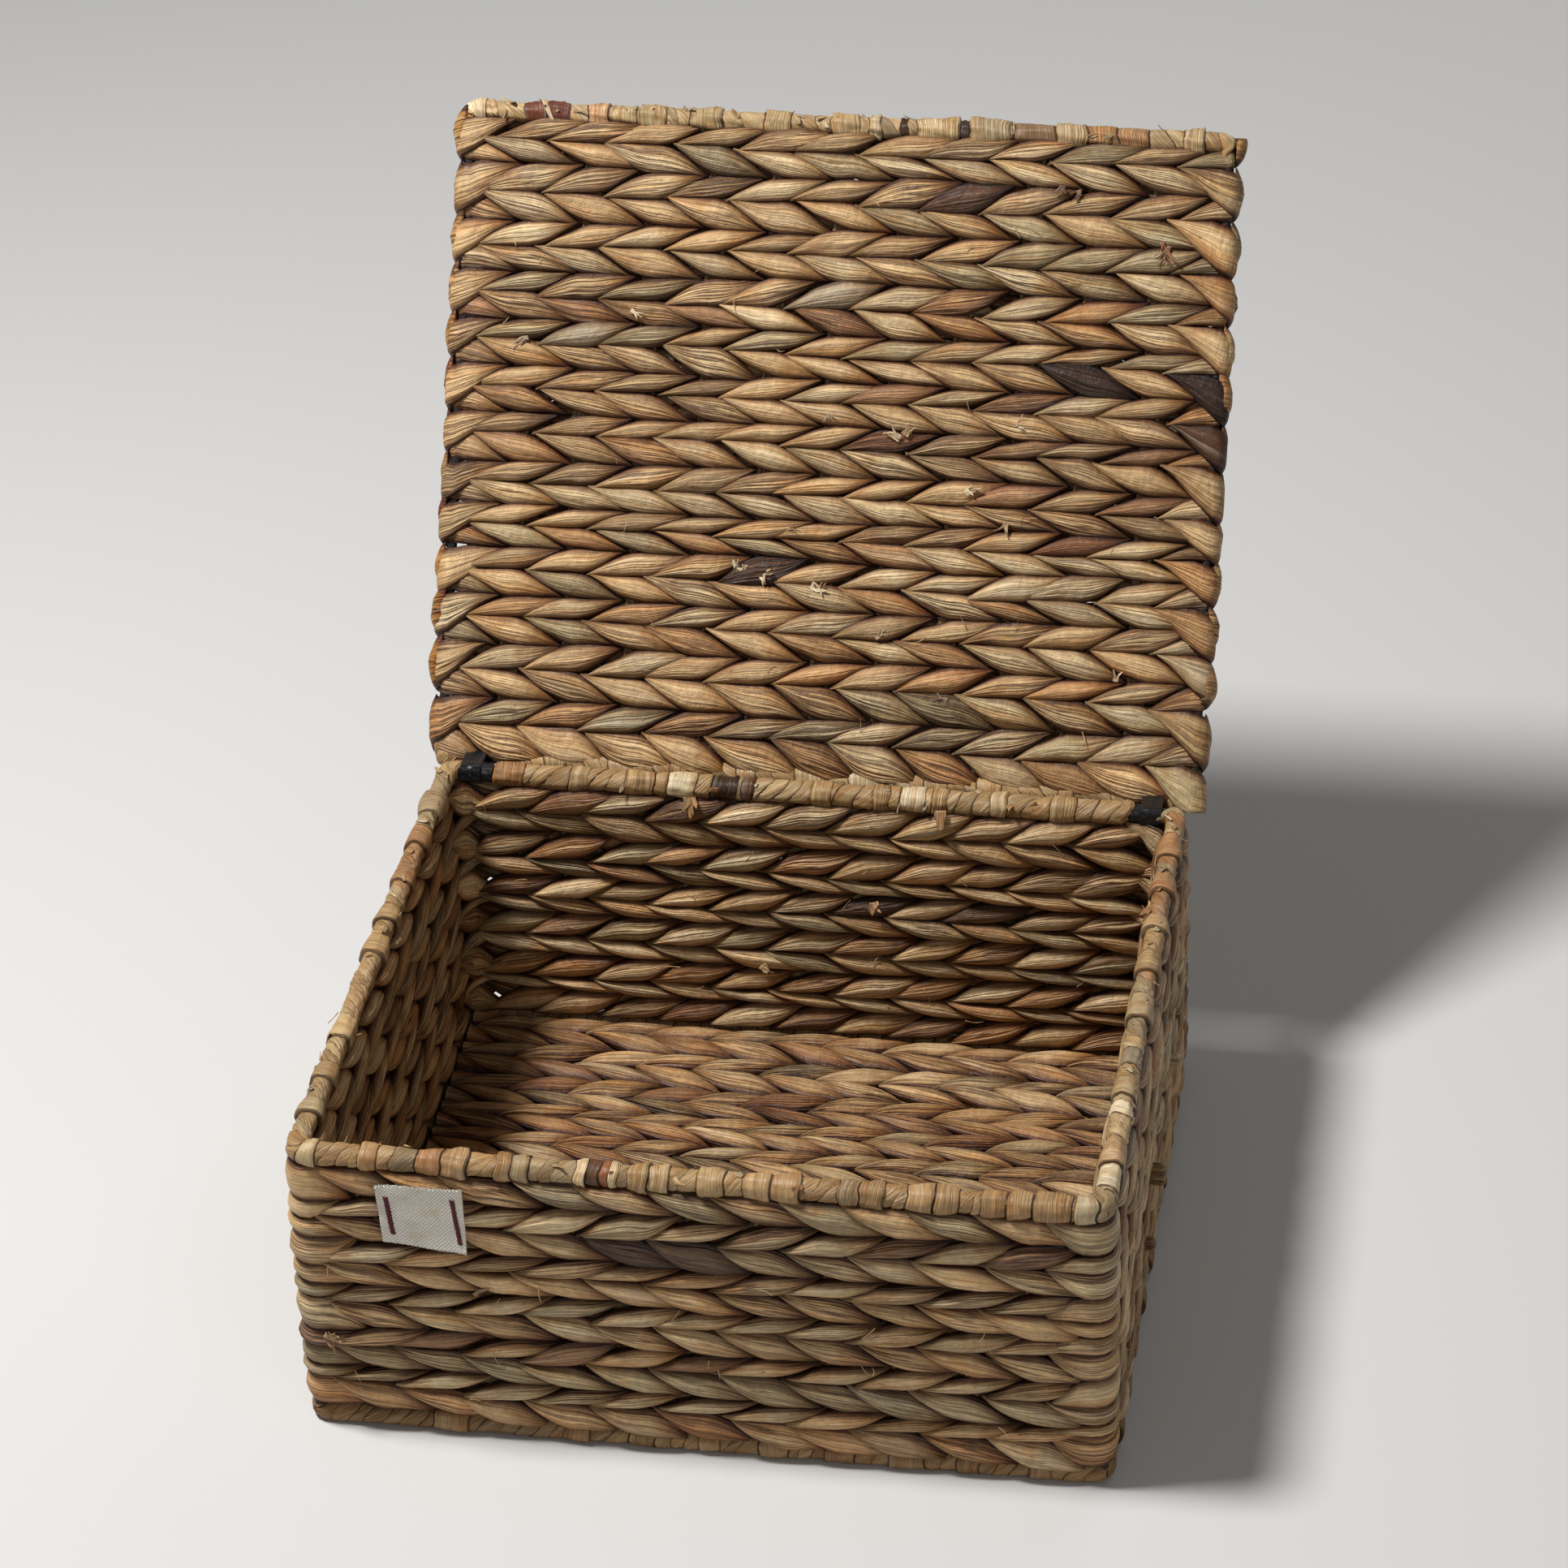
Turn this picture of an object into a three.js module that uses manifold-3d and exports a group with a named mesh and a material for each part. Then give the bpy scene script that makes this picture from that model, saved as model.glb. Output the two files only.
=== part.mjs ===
// Water hyacinth basket: an oblong box of twined strands on a welded rod frame, with a woven lid that
// swings on two clips. Millimetres, +Z up, +Y towards the back. The origin is the middle of the floor's
// underside, and the lid stands open, leaning back, as in the photograph.

import * as THREE from 'three';
import { mergeVertices } from 'three/addons/utils/BufferGeometryUtils.js';
import Module from 'manifold-3d';

const wasm = await Module();
wasm.setup();

// Driving dimensions
const BOX_WIDTH = 350;        // left to right, between the axes of the frame's rods
const BOX_DEPTH = 306;        // front to back, between the axes of the frame's rods
const RIM_HEIGHT = 147;       // axis of the rim rods above the ground
const LID_WIDTH = 362;        // the lid is a little wider than the box, between its rods' axes
const LID_LENGTH = 309;       // from the lid's back rod to its front rod
const LID_LEAN = 29;          // degrees that the open lid leans back from upright
const LINK_LENGTH = 14.5;     // from the rim rod's axis to the lid rod's axis, through a clip
const LINK_DROP = 5;          // degrees that a clip points down behind the rim when the lid is open
const CLIP_CENTRE = 160.25;   // from the middle of the basket to the middle of each clip

const ROD_RADIUS = 2.5;
const WRAP_RADIUS = 5.4;      // a rod with its leaf wrap
const BAND_RADIUS = 6;        // where a stake's loop goes over the wrap
const BAND_WIDTH = 10;
const WEAVE_HALF = 6.8;       // half the thickness of the woven panels
const GROOVE_HALF = 4.6;      // half the thickness in the grooves between the courses
const STAKE_WIDTH = 4.4;
const STAKE_THICKNESS = 2.4;
const FOOT_FLAT = 0.5;        // how far the base wraps are pressed flat by the ground
const GAP = 0.3;              // between pieces that touch

const STAKES_WIDE = 11;       // stakes across the front, the back, the floor and the lid
const STAKES_DEEP = 9;        // stakes across each side
const WALL_COURSES = 11;
const FLOOR_COURSES = 25;
const LID_COURSES = 26;

// Sizes worked out from these
const HALF_WIDTH = BOX_WIDTH / 2;
const HALF_DEPTH = BOX_DEPTH / 2;
const HALF_LID = LID_WIDTH / 2;
const BASE_HEIGHT = WRAP_RADIUS - FOOT_FLAT;
const EDGE_ROOM = WRAP_RADIUS + 0.6;      // from a rod's axis to the edge of the weave along it
const WALL_BOTTOM = BASE_HEIGHT + EDGE_ROOM;
const WALL_TOP = RIM_HEIGHT - EDGE_ROOM;
const FLOOR_HALF_DEPTH = HALF_DEPTH - WEAVE_HALF - GAP;
const FLOOR_HALF_WIDTH = HALF_WIDTH - WEAVE_HALF - GAP;
const BORE_RADIUS = ROD_RADIUS + 0.4;
const ROUND_SIDES = 10;
const WRAP_SIDES = 8;
const SLOT_OVERRUN = 1;                   // past the panel's edges, so that the slot is open there
const JOIN = ROD_RADIUS + GAP;            // from a rod's axis to the end of a rod that is welded to it
const CLIP_WIDTH = 10;
const CLIP_BARREL_WIDTH = 15.5;
const BACK_WRAP_HALF = CLIP_CENTRE - CLIP_BARREL_WIDTH / 2 - GAP;
const HOLE_LENGTH = 4 * JOIN;             // of a hole where one rod meets another

const LABEL_WIDTH = 38;
const LABEL_HEIGHT = 31.5;
const LABEL_THICKNESS = 0.8;
const LABEL_X = -119.6;
const LABEL_Z = 122.8;
const STITCH_WIDTH = 1.6;
const STITCH_HEIGHT = 22;
const STITCH_OFFSET = 14.5;
const STITCH_THICKNESS = 1.6;

// Materials
const material = (color, roughness, metalness = 0) =>
  new THREE.MeshStandardMaterial({ color, roughness, metalness });
const steel = material(0x1c1b1a, 0.5, 0.7);
const strand = material(0xb08d62, 0.75);
const leafWrap = material(0xc7b08a, 0.6);
const stakeLeaf = material(0xb79c74, 0.8);
const blackPlastic = material(0x141414, 0.35);
const canvas = material(0xcfccc4, 0.9);
const maroonThread = material(0x5a1f2c, 0.8);

const basket = new THREE.Group();
const lid = new THREE.Group();
basket.add(lid);

// The lid's own frame: x across, y from its back rod to its front rod, z towards the inside of the box
lid.position.set(
  0,
  HALF_DEPTH + LINK_LENGTH * Math.cos(THREE.MathUtils.degToRad(LINK_DROP)),
  RIM_HEIGHT - LINK_LENGTH * Math.sin(THREE.MathUtils.degToRad(LINK_DROP)),
);
lid.rotation.x = THREE.MathUtils.degToRad(90 - LID_LEAN);

// Solids that are cut and joined
function toSolid(geometry) {
  const bare = geometry.clone();
  bare.deleteAttribute('normal');
  bare.deleteAttribute('uv');
  const merged = mergeVertices(bare);
  const vertProperties = new Float32Array(merged.attributes.position.array);
  const triVerts = new Uint32Array(merged.index.array);
  return new wasm.Manifold(new wasm.Mesh({ numProp: 3, vertProperties, triVerts }));
}

function toGeometry(solid) {
  const mesh = solid.getMesh();
  const geometry = new THREE.BufferGeometry();
  geometry.setAttribute('position', new THREE.BufferAttribute(mesh.vertProperties, 3));
  geometry.setIndex(new THREE.BufferAttribute(mesh.triVerts, 1));
  geometry.computeVertexNormals();
  return geometry;
}

function addPiece(parent, name, geometry, finish) {
  const mesh = new THREE.Mesh(geometry, finish);
  mesh.name = name;
  parent.add(mesh);
  return mesh;
}

// Turns a shape drawn in y and z, and extruded, so that the extrusion runs along x
const alongX = new THREE.Matrix4().makeBasis(
  new THREE.Vector3(0, 1, 0),
  new THREE.Vector3(0, 0, 1),
  new THREE.Vector3(1, 0, 0),
);

// Turns a shape drawn in x and z, and extruded, so that the extrusion runs along y
const alongY = new THREE.Matrix4().makeBasis(
  new THREE.Vector3(1, 0, 0),
  new THREE.Vector3(0, 0, 1),
  new THREE.Vector3(0, -1, 0),
);

function extrude(shape, length, curveSegments = 2) {
  const options = { depth: length, bevelEnabled: false, curveSegments };
  return new THREE.ExtrudeGeometry(shape, options).translate(0, 0, -length / 2);
}

function rod(radius, length, axis, centre) {
  const geometry = new THREE.CylinderGeometry(radius, radius, length, ROUND_SIDES);
  if (axis === 'x') geometry.rotateZ(Math.PI / 2);
  if (axis === 'z') geometry.rotateX(Math.PI / 2);
  return geometry.translate(...centre);
}

function box(size, centre) {
  return new THREE.BoxGeometry(...size).translate(...centre);
}

const stakePlaces = (count, width) =>
  Array.from({ length: count }, (_, i) => ((i + 1) / (count + 1) - 0.5) * width);

// One unbroken stake strand that runs up and down across a panel, from y = low to y = high, drawn as
// the outline of its legs and turns. Grown by some clearance, it is the slot that the strand lies in.
function stakeStrand(places, low, high, clearance = 0) {
  const half = STAKE_WIDTH / 2 + clearance;
  const run = STAKE_THICKNESS + clearance;
  const reach = clearance > 0 ? SLOT_OVERRUN : 0;
  const top = high + reach;
  const bottom = low - reach;
  const ahead = [];
  const behind = [];
  places.forEach((x, i) => {
    const isFirst = i === 0;
    const isLast = i + 1 === places.length;
    const climbs = i % 2 === 0;
    if (climbs) {
      ahead.push([x - half, isFirst ? bottom : low + run], [x - half, top]);
      behind.push([x + half, bottom], [x + half, isLast ? top : high - run]);
    } else {
      ahead.push([x + half, top], [x + half, isLast ? bottom : low + run]);
      behind.push([x - half, high - run], [x - half, bottom]);
    }
  });
  const outline = [...ahead, ...behind.reverse()].map(([x, y]) => new THREE.Vector2(x, y));
  return extrude(new THREE.Shape(outline), STAKE_THICKNESS + 2 * clearance);
}

// The outline of a stack of twined courses, seen from the end: flat lobes with grooves between them
function courseOutline(courses, low, high) {
  const pitch = (high - low) / courses;
  const face = [];
  for (let i = 0; i < courses; i += 1) {
    const start = low + i * pitch;
    face.push([start, GROOVE_HALF], [start + 0.25 * pitch, WEAVE_HALF], [start + 0.75 * pitch, WEAVE_HALF]);
  }
  face.push([high, GROOVE_HALF]);
  const back = face.map(([y, z]) => [y, -z]).reverse();
  return new THREE.Shape([...face, ...back].map(([y, z]) => new THREE.Vector2(y, z)).reverse());
}

// A panel of courses along x, cut to a footprint in x and z, with the slot for its stakes
function wovenPanel({ courses, low, high, footprint, places, slots = [] }) {
  const lobes = extrude(courseOutline(courses, low, high), 2 * HALF_LID + 6 * WEAVE_HALF);
  let solid = toSolid(lobes.applyMatrix4(alongX));
  const cutter = extrude(footprint, 2 * (high - low)).applyMatrix4(alongY);
  solid = solid.intersect(toSolid(cutter.translate(0, (low + high) / 2, 0)));
  solid = solid.subtract(toSolid(stakeStrand(places, low, high, GAP)));
  slots.forEach((slot) => {
    solid = solid.subtract(toSolid(slot));
  });
  return toGeometry(solid);
}

// The footprint of one wall: mitred to its neighbours, with the outer corners turned round the posts
function wallFootprint(half) {
  const inner = half - WEAVE_HALF - GAP / 2;
  const shape = new THREE.Shape();
  const slack = GAP / 2 / Math.SQRT2;
  shape.moveTo(-inner, -WEAVE_HALF - slack);
  shape.lineTo(inner, -WEAVE_HALF - slack);
  shape.absarc(half - slack, slack, WEAVE_HALF - slack, Math.PI / 4, Math.PI / 2, false);
  shape.absarc(slack - half, slack, WEAVE_HALF - slack, Math.PI / 2, 0.75 * Math.PI, false);
  shape.closePath();
  return shape;
}

function rectangle(halfX, halfZ) {
  const shape = new THREE.Shape();
  shape.moveTo(-halfX, -halfZ);
  shape.lineTo(halfX, -halfZ);
  shape.lineTo(halfX, halfZ);
  shape.lineTo(-halfX, halfZ);
  shape.closePath();
  return shape;
}

// The footprint of the lid: its sides turn round the side rods
function lidFootprint() {
  const shape = new THREE.Shape();
  shape.absarc(HALF_LID, 0, WEAVE_HALF, -Math.PI / 2, Math.PI / 2, false);
  shape.absarc(-HALF_LID, 0, WEAVE_HALF, Math.PI / 2, 1.5 * Math.PI, false);
  shape.closePath();
  return shape;
}

// A leaf wrap round a rod along x, with a raised band at each stake and a rounded end at each corner
function leafTube({ half, bands = [], balls = [], cuts = [] }) {
  const profile = [[BORE_RADIUS, -half], [WRAP_RADIUS, -half]];
  bands.forEach((x) => {
    profile.push([WRAP_RADIUS, x - BAND_WIDTH / 2], [BAND_RADIUS, x], [WRAP_RADIUS, x + BAND_WIDTH / 2]);
  });
  profile.push([WRAP_RADIUS, half], [BORE_RADIUS, half], [BORE_RADIUS, -half]);
  const points = profile.map(([r, y]) => new THREE.Vector2(r, y));
  const tube = new THREE.LatheGeometry(points, WRAP_SIDES).rotateZ(-Math.PI / 2);
  let solid = toSolid(tube);
  balls.forEach((x) => {
    const ball = new THREE.SphereGeometry(WRAP_RADIUS, WRAP_SIDES, 6).rotateZ(Math.PI / 2);
    solid = solid.add(toSolid(ball.translate(x, 0, 0)));
  });
  cuts.forEach((cut) => {
    solid = solid.subtract(toSolid(cut));
  });
  return toGeometry(solid);
}

// The steel frame: a rim ring, a base ring and four posts, butt welded
function addFrame() {
  const across = BOX_WIDTH + 2 * ROD_RADIUS;
  const along = BOX_DEPTH - 2 * JOIN;
  const rings = [['rim', RIM_HEIGHT], ['base', BASE_HEIGHT]];
  rings.forEach(([ring, z]) => {
    addPiece(basket, `${ring}_rod_front`, rod(ROD_RADIUS, across, 'x', [0, -HALF_DEPTH, z]), steel);
    addPiece(basket, `${ring}_rod_back`, rod(ROD_RADIUS, across, 'x', [0, HALF_DEPTH, z]), steel);
    addPiece(basket, `${ring}_rod_left`, rod(ROD_RADIUS, along, 'y', [-HALF_WIDTH, 0, z]), steel);
    addPiece(basket, `${ring}_rod_right`, rod(ROD_RADIUS, along, 'y', [HALF_WIDTH, 0, z]), steel);
  });
  const height = RIM_HEIGHT - BASE_HEIGHT - 2 * JOIN;
  const middle = (RIM_HEIGHT + BASE_HEIGHT) / 2;
  [['front', -1], ['back', 1]].forEach(([depthName, ySide]) => {
    [['left', -1], ['right', 1]].forEach(([sideName, xSide]) => {
      const centre = [xSide * HALF_WIDTH, ySide * HALF_DEPTH, middle];
      addPiece(basket, `corner_post_${depthName}_${sideName}`, rod(ROD_RADIUS, height, 'z', centre), steel);
    });
  });
}

// Each wall is made in a frame of its own, x across, y up and z outwards, and turned to its place
const walls = [
  { name: 'front', half: HALF_WIDTH, away: HALF_DEPTH, stakes: STAKES_WIDE, turn: 0 },
  { name: 'right', half: HALF_DEPTH, away: HALF_WIDTH, stakes: STAKES_DEEP, turn: Math.PI / 2 },
  { name: 'back', half: HALF_WIDTH, away: HALF_DEPTH, stakes: STAKES_WIDE, turn: Math.PI },
  { name: 'left', half: HALF_DEPTH, away: HALF_WIDTH, stakes: STAKES_DEEP, turn: -Math.PI / 2 },
];

function addWall({ name, half, away, stakes, turn }) {
  const side = new THREE.Group();
  side.rotation.z = turn;
  basket.add(side);
  const upright = new THREE.Group();
  upright.position.set(0, -away, 0);
  upright.rotation.x = Math.PI / 2;
  side.add(upright);

  const places = stakePlaces(stakes, 2 * half);
  const tall = 2 * RIM_HEIGHT;
  const postBores = [-half, half].map((x) => rod(BORE_RADIUS, tall, 'y', [x, RIM_HEIGHT / 2, 0]));
  const panel = wovenPanel({
    courses: WALL_COURSES,
    low: WALL_BOTTOM,
    high: WALL_TOP,
    footprint: wallFootprint(half),
    places,
    slots: postBores,
  });
  addPiece(upright, `wall_weave_${name}`, panel, strand);
  addPiece(upright, `wall_stakes_${name}`, stakeStrand(places, WALL_BOTTOM, WALL_TOP), stakeLeaf);
  addWraps({ name, half, places, upright });
}

// The rim's and the base's wraps on one side. The front and back wraps take the corners, but the rim's
// back wrap stops short for the clips, so there the side wraps reach round the corner.
function addWraps({ name, half, places, upright }) {
  const isSide = name === 'left' || name === 'right';
  const ends = [-half, half];
  const postHoles = ends.map((x) => rod(BORE_RADIUS, HOLE_LENGTH, 'y', [x, -HOLE_LENGTH / 2, 0]));
  const sideRodHoles = ends.map((x) => rod(BORE_RADIUS, HOLE_LENGTH, 'z', [x, 0, -HOLE_LENGTH / 2]));
  const ownBore = rod(BORE_RADIUS, 2 * half + 2 * JOIN, 'x', [0, 0, 0]);

  let rim = { half: BACK_WRAP_HALF, bands: places };
  if (name === 'front') {
    rim = { half, bands: places, balls: ends, cuts: [...postHoles, ...sideRodHoles, ownBore] };
  }
  if (isSide) {
    const back = name === 'right' ? 1 : -1;
    const trimSize = 4 * WRAP_RADIUS;
    const trimCentre = -back * (half - WRAP_RADIUS - GAP + trimSize / 2);
    const frontTrim = box([trimSize, trimSize, trimSize], [trimCentre, 0, 0]);
    const backRodHole = rod(BORE_RADIUS, HOLE_LENGTH, 'z', [back * half, 0, -JOIN]);
    const cuts = [frontTrim, backRodHole, ...postHoles, ownBore];
    rim = { half, bands: places, balls: [back * half], cuts };
  }
  const rimWrap = addPiece(upright, `rim_wrap_${name}`, leafTube(rim), leafWrap);
  rimWrap.position.y = RIM_HEIGHT;

  const ground = box([3 * half, 2 * WRAP_RADIUS, 4 * WRAP_RADIUS], [0, -BASE_HEIGHT - WRAP_RADIUS, 0]);
  const raisedPostHoles = postHoles.map((hole) => hole.clone().translate(0, HOLE_LENGTH, 0));
  let base = { half: half - WRAP_RADIUS - GAP, cuts: [ground] };
  if (!isSide) {
    base = { half, balls: ends, cuts: [...raisedPostHoles, ...sideRodHoles, ownBore, ground] };
  }
  const baseWrap = addPiece(upright, `base_wrap_${name}`, leafTube(base), leafWrap);
  baseWrap.position.y = BASE_HEIGHT;
}

// The floor's courses run across the basket, and their undersides lie on the ground
function addFloor() {
  const places = stakePlaces(STAKES_WIDE, BOX_WIDTH);
  const panel = wovenPanel({
    courses: FLOOR_COURSES,
    low: -FLOOR_HALF_DEPTH,
    high: FLOOR_HALF_DEPTH,
    footprint: rectangle(FLOOR_HALF_WIDTH, WEAVE_HALF + 1),
    places,
  });
  const weave = addPiece(basket, 'floor_weave', panel, strand);
  weave.position.z = WEAVE_HALF;
  const stakes = stakeStrand(places, -FLOOR_HALF_DEPTH, FLOOR_HALF_DEPTH);
  const strandMesh = addPiece(basket, 'floor_stakes', stakes, stakeLeaf);
  strandMesh.position.z = WEAVE_HALF;
}

function addLid() {
  const across = LID_WIDTH + 2 * ROD_RADIUS;
  const middle = LID_LENGTH / 2;
  addPiece(lid, 'lid_rod_back', rod(ROD_RADIUS, across, 'x', [0, 0, 0]), steel);
  addPiece(lid, 'lid_rod_front', rod(ROD_RADIUS, across, 'x', [0, LID_LENGTH, 0]), steel);
  [['left', -1], ['right', 1]].forEach(([side, sign]) => {
    const sideRod = rod(ROD_RADIUS, LID_LENGTH - 2 * JOIN, 'y', [sign * HALF_LID, middle, 0]);
    addPiece(lid, `lid_rod_${side}`, sideRod, steel);
  });

  const places = stakePlaces(STAKES_WIDE, LID_WIDTH);
  const high = LID_LENGTH - EDGE_ROOM;
  const sideBores = [-HALF_LID, HALF_LID].map((x) => rod(BORE_RADIUS, 2 * LID_LENGTH, 'y', [x, middle, 0]));
  const panel = wovenPanel({
    courses: LID_COURSES,
    low: EDGE_ROOM,
    high,
    footprint: lidFootprint(),
    places,
    slots: sideBores,
  });
  addPiece(lid, 'lid_weave', panel, strand);
  addPiece(lid, 'lid_stakes', stakeStrand(places, EDGE_ROOM, high), stakeLeaf);

  const sideRodHoles = [-HALF_LID, HALF_LID].map((x) =>
    rod(BORE_RADIUS, HOLE_LENGTH, 'y', [x, -HOLE_LENGTH / 2, 0]));
  const ownBore = rod(BORE_RADIUS, LID_WIDTH + 2 * JOIN, 'x', [0, 0, 0]);
  const frontTube = leafTube({
    half: HALF_LID,
    bands: places,
    balls: [-HALF_LID, HALF_LID],
    cuts: [...sideRodHoles, ownBore],
  });
  const frontWrap = addPiece(lid, 'lid_wrap_front', frontTube, leafWrap);
  frontWrap.position.y = LID_LENGTH;
  const backBands = places.filter((x) => Math.abs(x) < BACK_WRAP_HALF - BAND_WIDTH);
  addPiece(lid, 'lid_wrap_back', leafTube({ half: BACK_WRAP_HALF, bands: backBands }), leafWrap);
}

// A clip grips the lid's back rod and turns on the rim rod. Its outline is drawn from the rim rod's
// axis, with x towards the lid's rod. Its belly comes down on the back wall when the lid is open.
function clipOutline() {
  const nose = 4.9;
  const halfHeight = 4.8;
  const belly = 6;
  const tail = LINK_LENGTH + halfHeight;
  const corner = 2.8;
  const shape = new THREE.Shape();
  shape.absarc(corner - nose, corner - halfHeight, corner, Math.PI, 1.5 * Math.PI, false);
  shape.lineTo(LINK_LENGTH - corner, -belly);
  shape.absarc(tail - corner, corner - belly, corner, -Math.PI / 2, 0, false);
  shape.absarc(tail - corner, halfHeight - corner, corner, 0, Math.PI / 2, false);
  shape.absarc(corner - nose, halfHeight - corner, corner, Math.PI / 2, Math.PI, false);
  shape.closePath();
  return shape;
}

function addClips() {
  const barrelRadius = 4.6;
  const barrelShift = (CLIP_BARREL_WIDTH - CLIP_WIDTH) / 2;
  [['left', -1], ['right', 1]].forEach(([side, sign]) => {
    let solid = toSolid(extrude(clipOutline(), CLIP_WIDTH).applyMatrix4(alongX));
    solid = solid.add(toSolid(rod(barrelRadius, CLIP_BARREL_WIDTH, 'x', [-sign * barrelShift, 0, 0])));
    const long = 2 * CLIP_BARREL_WIDTH;
    solid = solid.subtract(toSolid(rod(BORE_RADIUS, long, 'x', [0, 0, 0])));
    solid = solid.subtract(toSolid(rod(BORE_RADIUS, long, 'x', [0, LINK_LENGTH, 0])));
    const clip = addPiece(basket, `hinge_clip_${side}`, toGeometry(solid), blackPlastic);
    clip.position.set(sign * (CLIP_CENTRE + barrelShift), HALF_DEPTH, RIM_HEIGHT);
    clip.rotation.x = -THREE.MathUtils.degToRad(LINK_DROP);
  });
}

// The sewn label on the front wall, and the two stitches that hold it
function addLabel() {
  const face = -HALF_DEPTH - WEAVE_HALF - GAP;
  const middle = face - LABEL_THICKNESS / 2;
  let solid = toSolid(box([LABEL_WIDTH, LABEL_THICKNESS, LABEL_HEIGHT], [LABEL_X, middle, LABEL_Z]));
  [['left', -1], ['right', 1]].forEach(([side, sign]) => {
    const x = LABEL_X + sign * STITCH_OFFSET;
    const y = face + GAP / 2 - STITCH_THICKNESS / 2;
    const hole = [STITCH_WIDTH + 2 * GAP, 2 * LABEL_THICKNESS, STITCH_HEIGHT + 2 * GAP];
    solid = solid.subtract(toSolid(box(hole, [x, middle, LABEL_Z])));
    const stitch = box([STITCH_WIDTH, STITCH_THICKNESS, STITCH_HEIGHT], [x, y, LABEL_Z]);
    addPiece(basket, `label_stitch_${side}`, stitch, maroonThread);
  });
  addPiece(basket, 'label', toGeometry(solid), canvas);
}

addFrame();
walls.forEach(addWall);
addFloor();
addLid();
addClips();
addLabel();

export default basket;
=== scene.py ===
# Looks of the water hyacinth basket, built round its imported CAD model. The shapes are worked out in
# millimetres, in the CAD model's frame, and turned into metres when a mesh is made.

import math
from collections import namedtuple

import bmesh
import bpy
import numpy as np
from mathutils import Matrix, Vector


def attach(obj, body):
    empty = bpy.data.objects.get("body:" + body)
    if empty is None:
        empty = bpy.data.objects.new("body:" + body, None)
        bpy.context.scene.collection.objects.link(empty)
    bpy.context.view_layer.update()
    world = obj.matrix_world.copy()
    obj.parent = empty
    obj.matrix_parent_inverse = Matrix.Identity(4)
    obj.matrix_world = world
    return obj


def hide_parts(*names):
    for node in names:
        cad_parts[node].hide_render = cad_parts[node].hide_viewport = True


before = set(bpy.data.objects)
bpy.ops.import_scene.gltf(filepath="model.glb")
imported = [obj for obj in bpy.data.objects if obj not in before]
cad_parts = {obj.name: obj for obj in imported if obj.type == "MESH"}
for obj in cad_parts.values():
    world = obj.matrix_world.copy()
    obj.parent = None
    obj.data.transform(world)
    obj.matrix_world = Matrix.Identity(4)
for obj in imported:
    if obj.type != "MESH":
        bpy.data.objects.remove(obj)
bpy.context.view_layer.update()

MM = 0.001

# The CAD model's driving dimensions
HALF_WIDTH = 175.0
HALF_DEPTH = 153.0
RIM_HEIGHT = 147.0
BASE_HEIGHT = 4.9
WALL_BOTTOM = 10.9
WALL_TOP = 141.0
FLOOR_MIDDLE = 6.8
FLOOR_HALF_DEPTH = 145.9
FLOOR_HALF_WIDTH = 167.9
HALF_LID = 181.0
LID_LENGTH = 309.0
LID_EDGE = 6.0
LID_LEAN = math.radians(29)
LID_ALONG = np.array([0, math.sin(LID_LEAN), math.cos(LID_LEAN)])
LID_OUT = np.array([0, -math.cos(LID_LEAN), math.sin(LID_LEAN)])
LID_ORIGIN = np.array([0.0, 167.445, 145.736])
CLIP_START = 152.0         # where each hinge clip begins and ends, from the middle
CLIP_END = 168.0
LABEL_X = -119.6           # the label's middle
LABEL_TOP = 138.6
LABEL_WIDTH = 38.0
LABEL_HEIGHT = 31.5
LABEL_BACK = 160.7         # how far in front of the basket's middle its back lies
CANVAS_PITCH = 1.8         # two threads
STANDS_AT = 0.1            # the lowest point's height, just clear of the surface below
RIM_PRESSED = 6.1          # how far above the rim rods' middle the closed lid lets their wraps stand
LID_PRESSED = 6.9          # how far from the lid's middle the rim lets its strands stand

WALL_COURSES = 11
FLOOR_COURSES = 25
LID_COURSES = 26
INTERVALS_WIDE = 12        # between the stakes across the front, the back, the floor and the lid
INTERVALS_DEEP = 10        # between the stakes across each side

# How the strands lie. Shares are of the interval between two stakes.
REACH = 3.4                # from the panel's middle to the middle of a strand over a stake
STRAND_THICK = 3.8         # half the thickness of a strand over a stake
FRONT_TIP = 0.80           # how far a strand's overlying end reaches past its stake, as a share
COVERED_TIP = 0.84         # how far its covered end reaches, as a share
RISE = 0.95                # how long its edge takes to climb across the course, as a share
COVERED_RISE = 0.85        # the same at its covered end
DIP = 0.975                # how far a strand drops from its highest to an interval away, as a share of REACH
OVERLIE = 1.2              # how much it tilts up towards its overlying end, over an interval
LAP = 1.06                 # how much a strand's width overlaps its neighbours above and below
CORNER_RADIUS = 4.0

SLASH, BACKSLASH = 1, -1   # how the strands of a course slant


def linear(colour):
    """An 8-bit screen colour as linear light."""
    value = np.asarray(colour, float) / 255
    return np.where(value <= 0.04045, value / 12.92, ((value + 0.055) / 1.055) ** 2.4)


# Colours of dried water hyacinth, and how common each is
STRAND_COLOURS = [
    ((210, 174, 124), 0.46),   # tan
    ((220, 192, 146), 0.30),   # straw
    ((190, 168, 126), 0.10),   # olive grey
    ((202, 155, 102), 0.10),   # orange brown
    ((172, 128, 86), 0.035),   # brown
    ((120, 84, 56), 0.005),    # dark brown
]
WRAP_COLOURS = [
    ((190, 160, 114), 0.38),   # straw
    ((178, 144, 98), 0.36),    # tan
    ((168, 144, 106), 0.18),   # olive grey
    ((172, 128, 84), 0.05),    # orange brown
    ((202, 180, 140), 0.03),   # pale straw
]
NEAR_BLACK = (64, 42, 26)
DARK_BROWN = (96, 62, 38)
RED_BROWN = (140, 92, 56)
REDDISH = (116, 64, 42)
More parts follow.
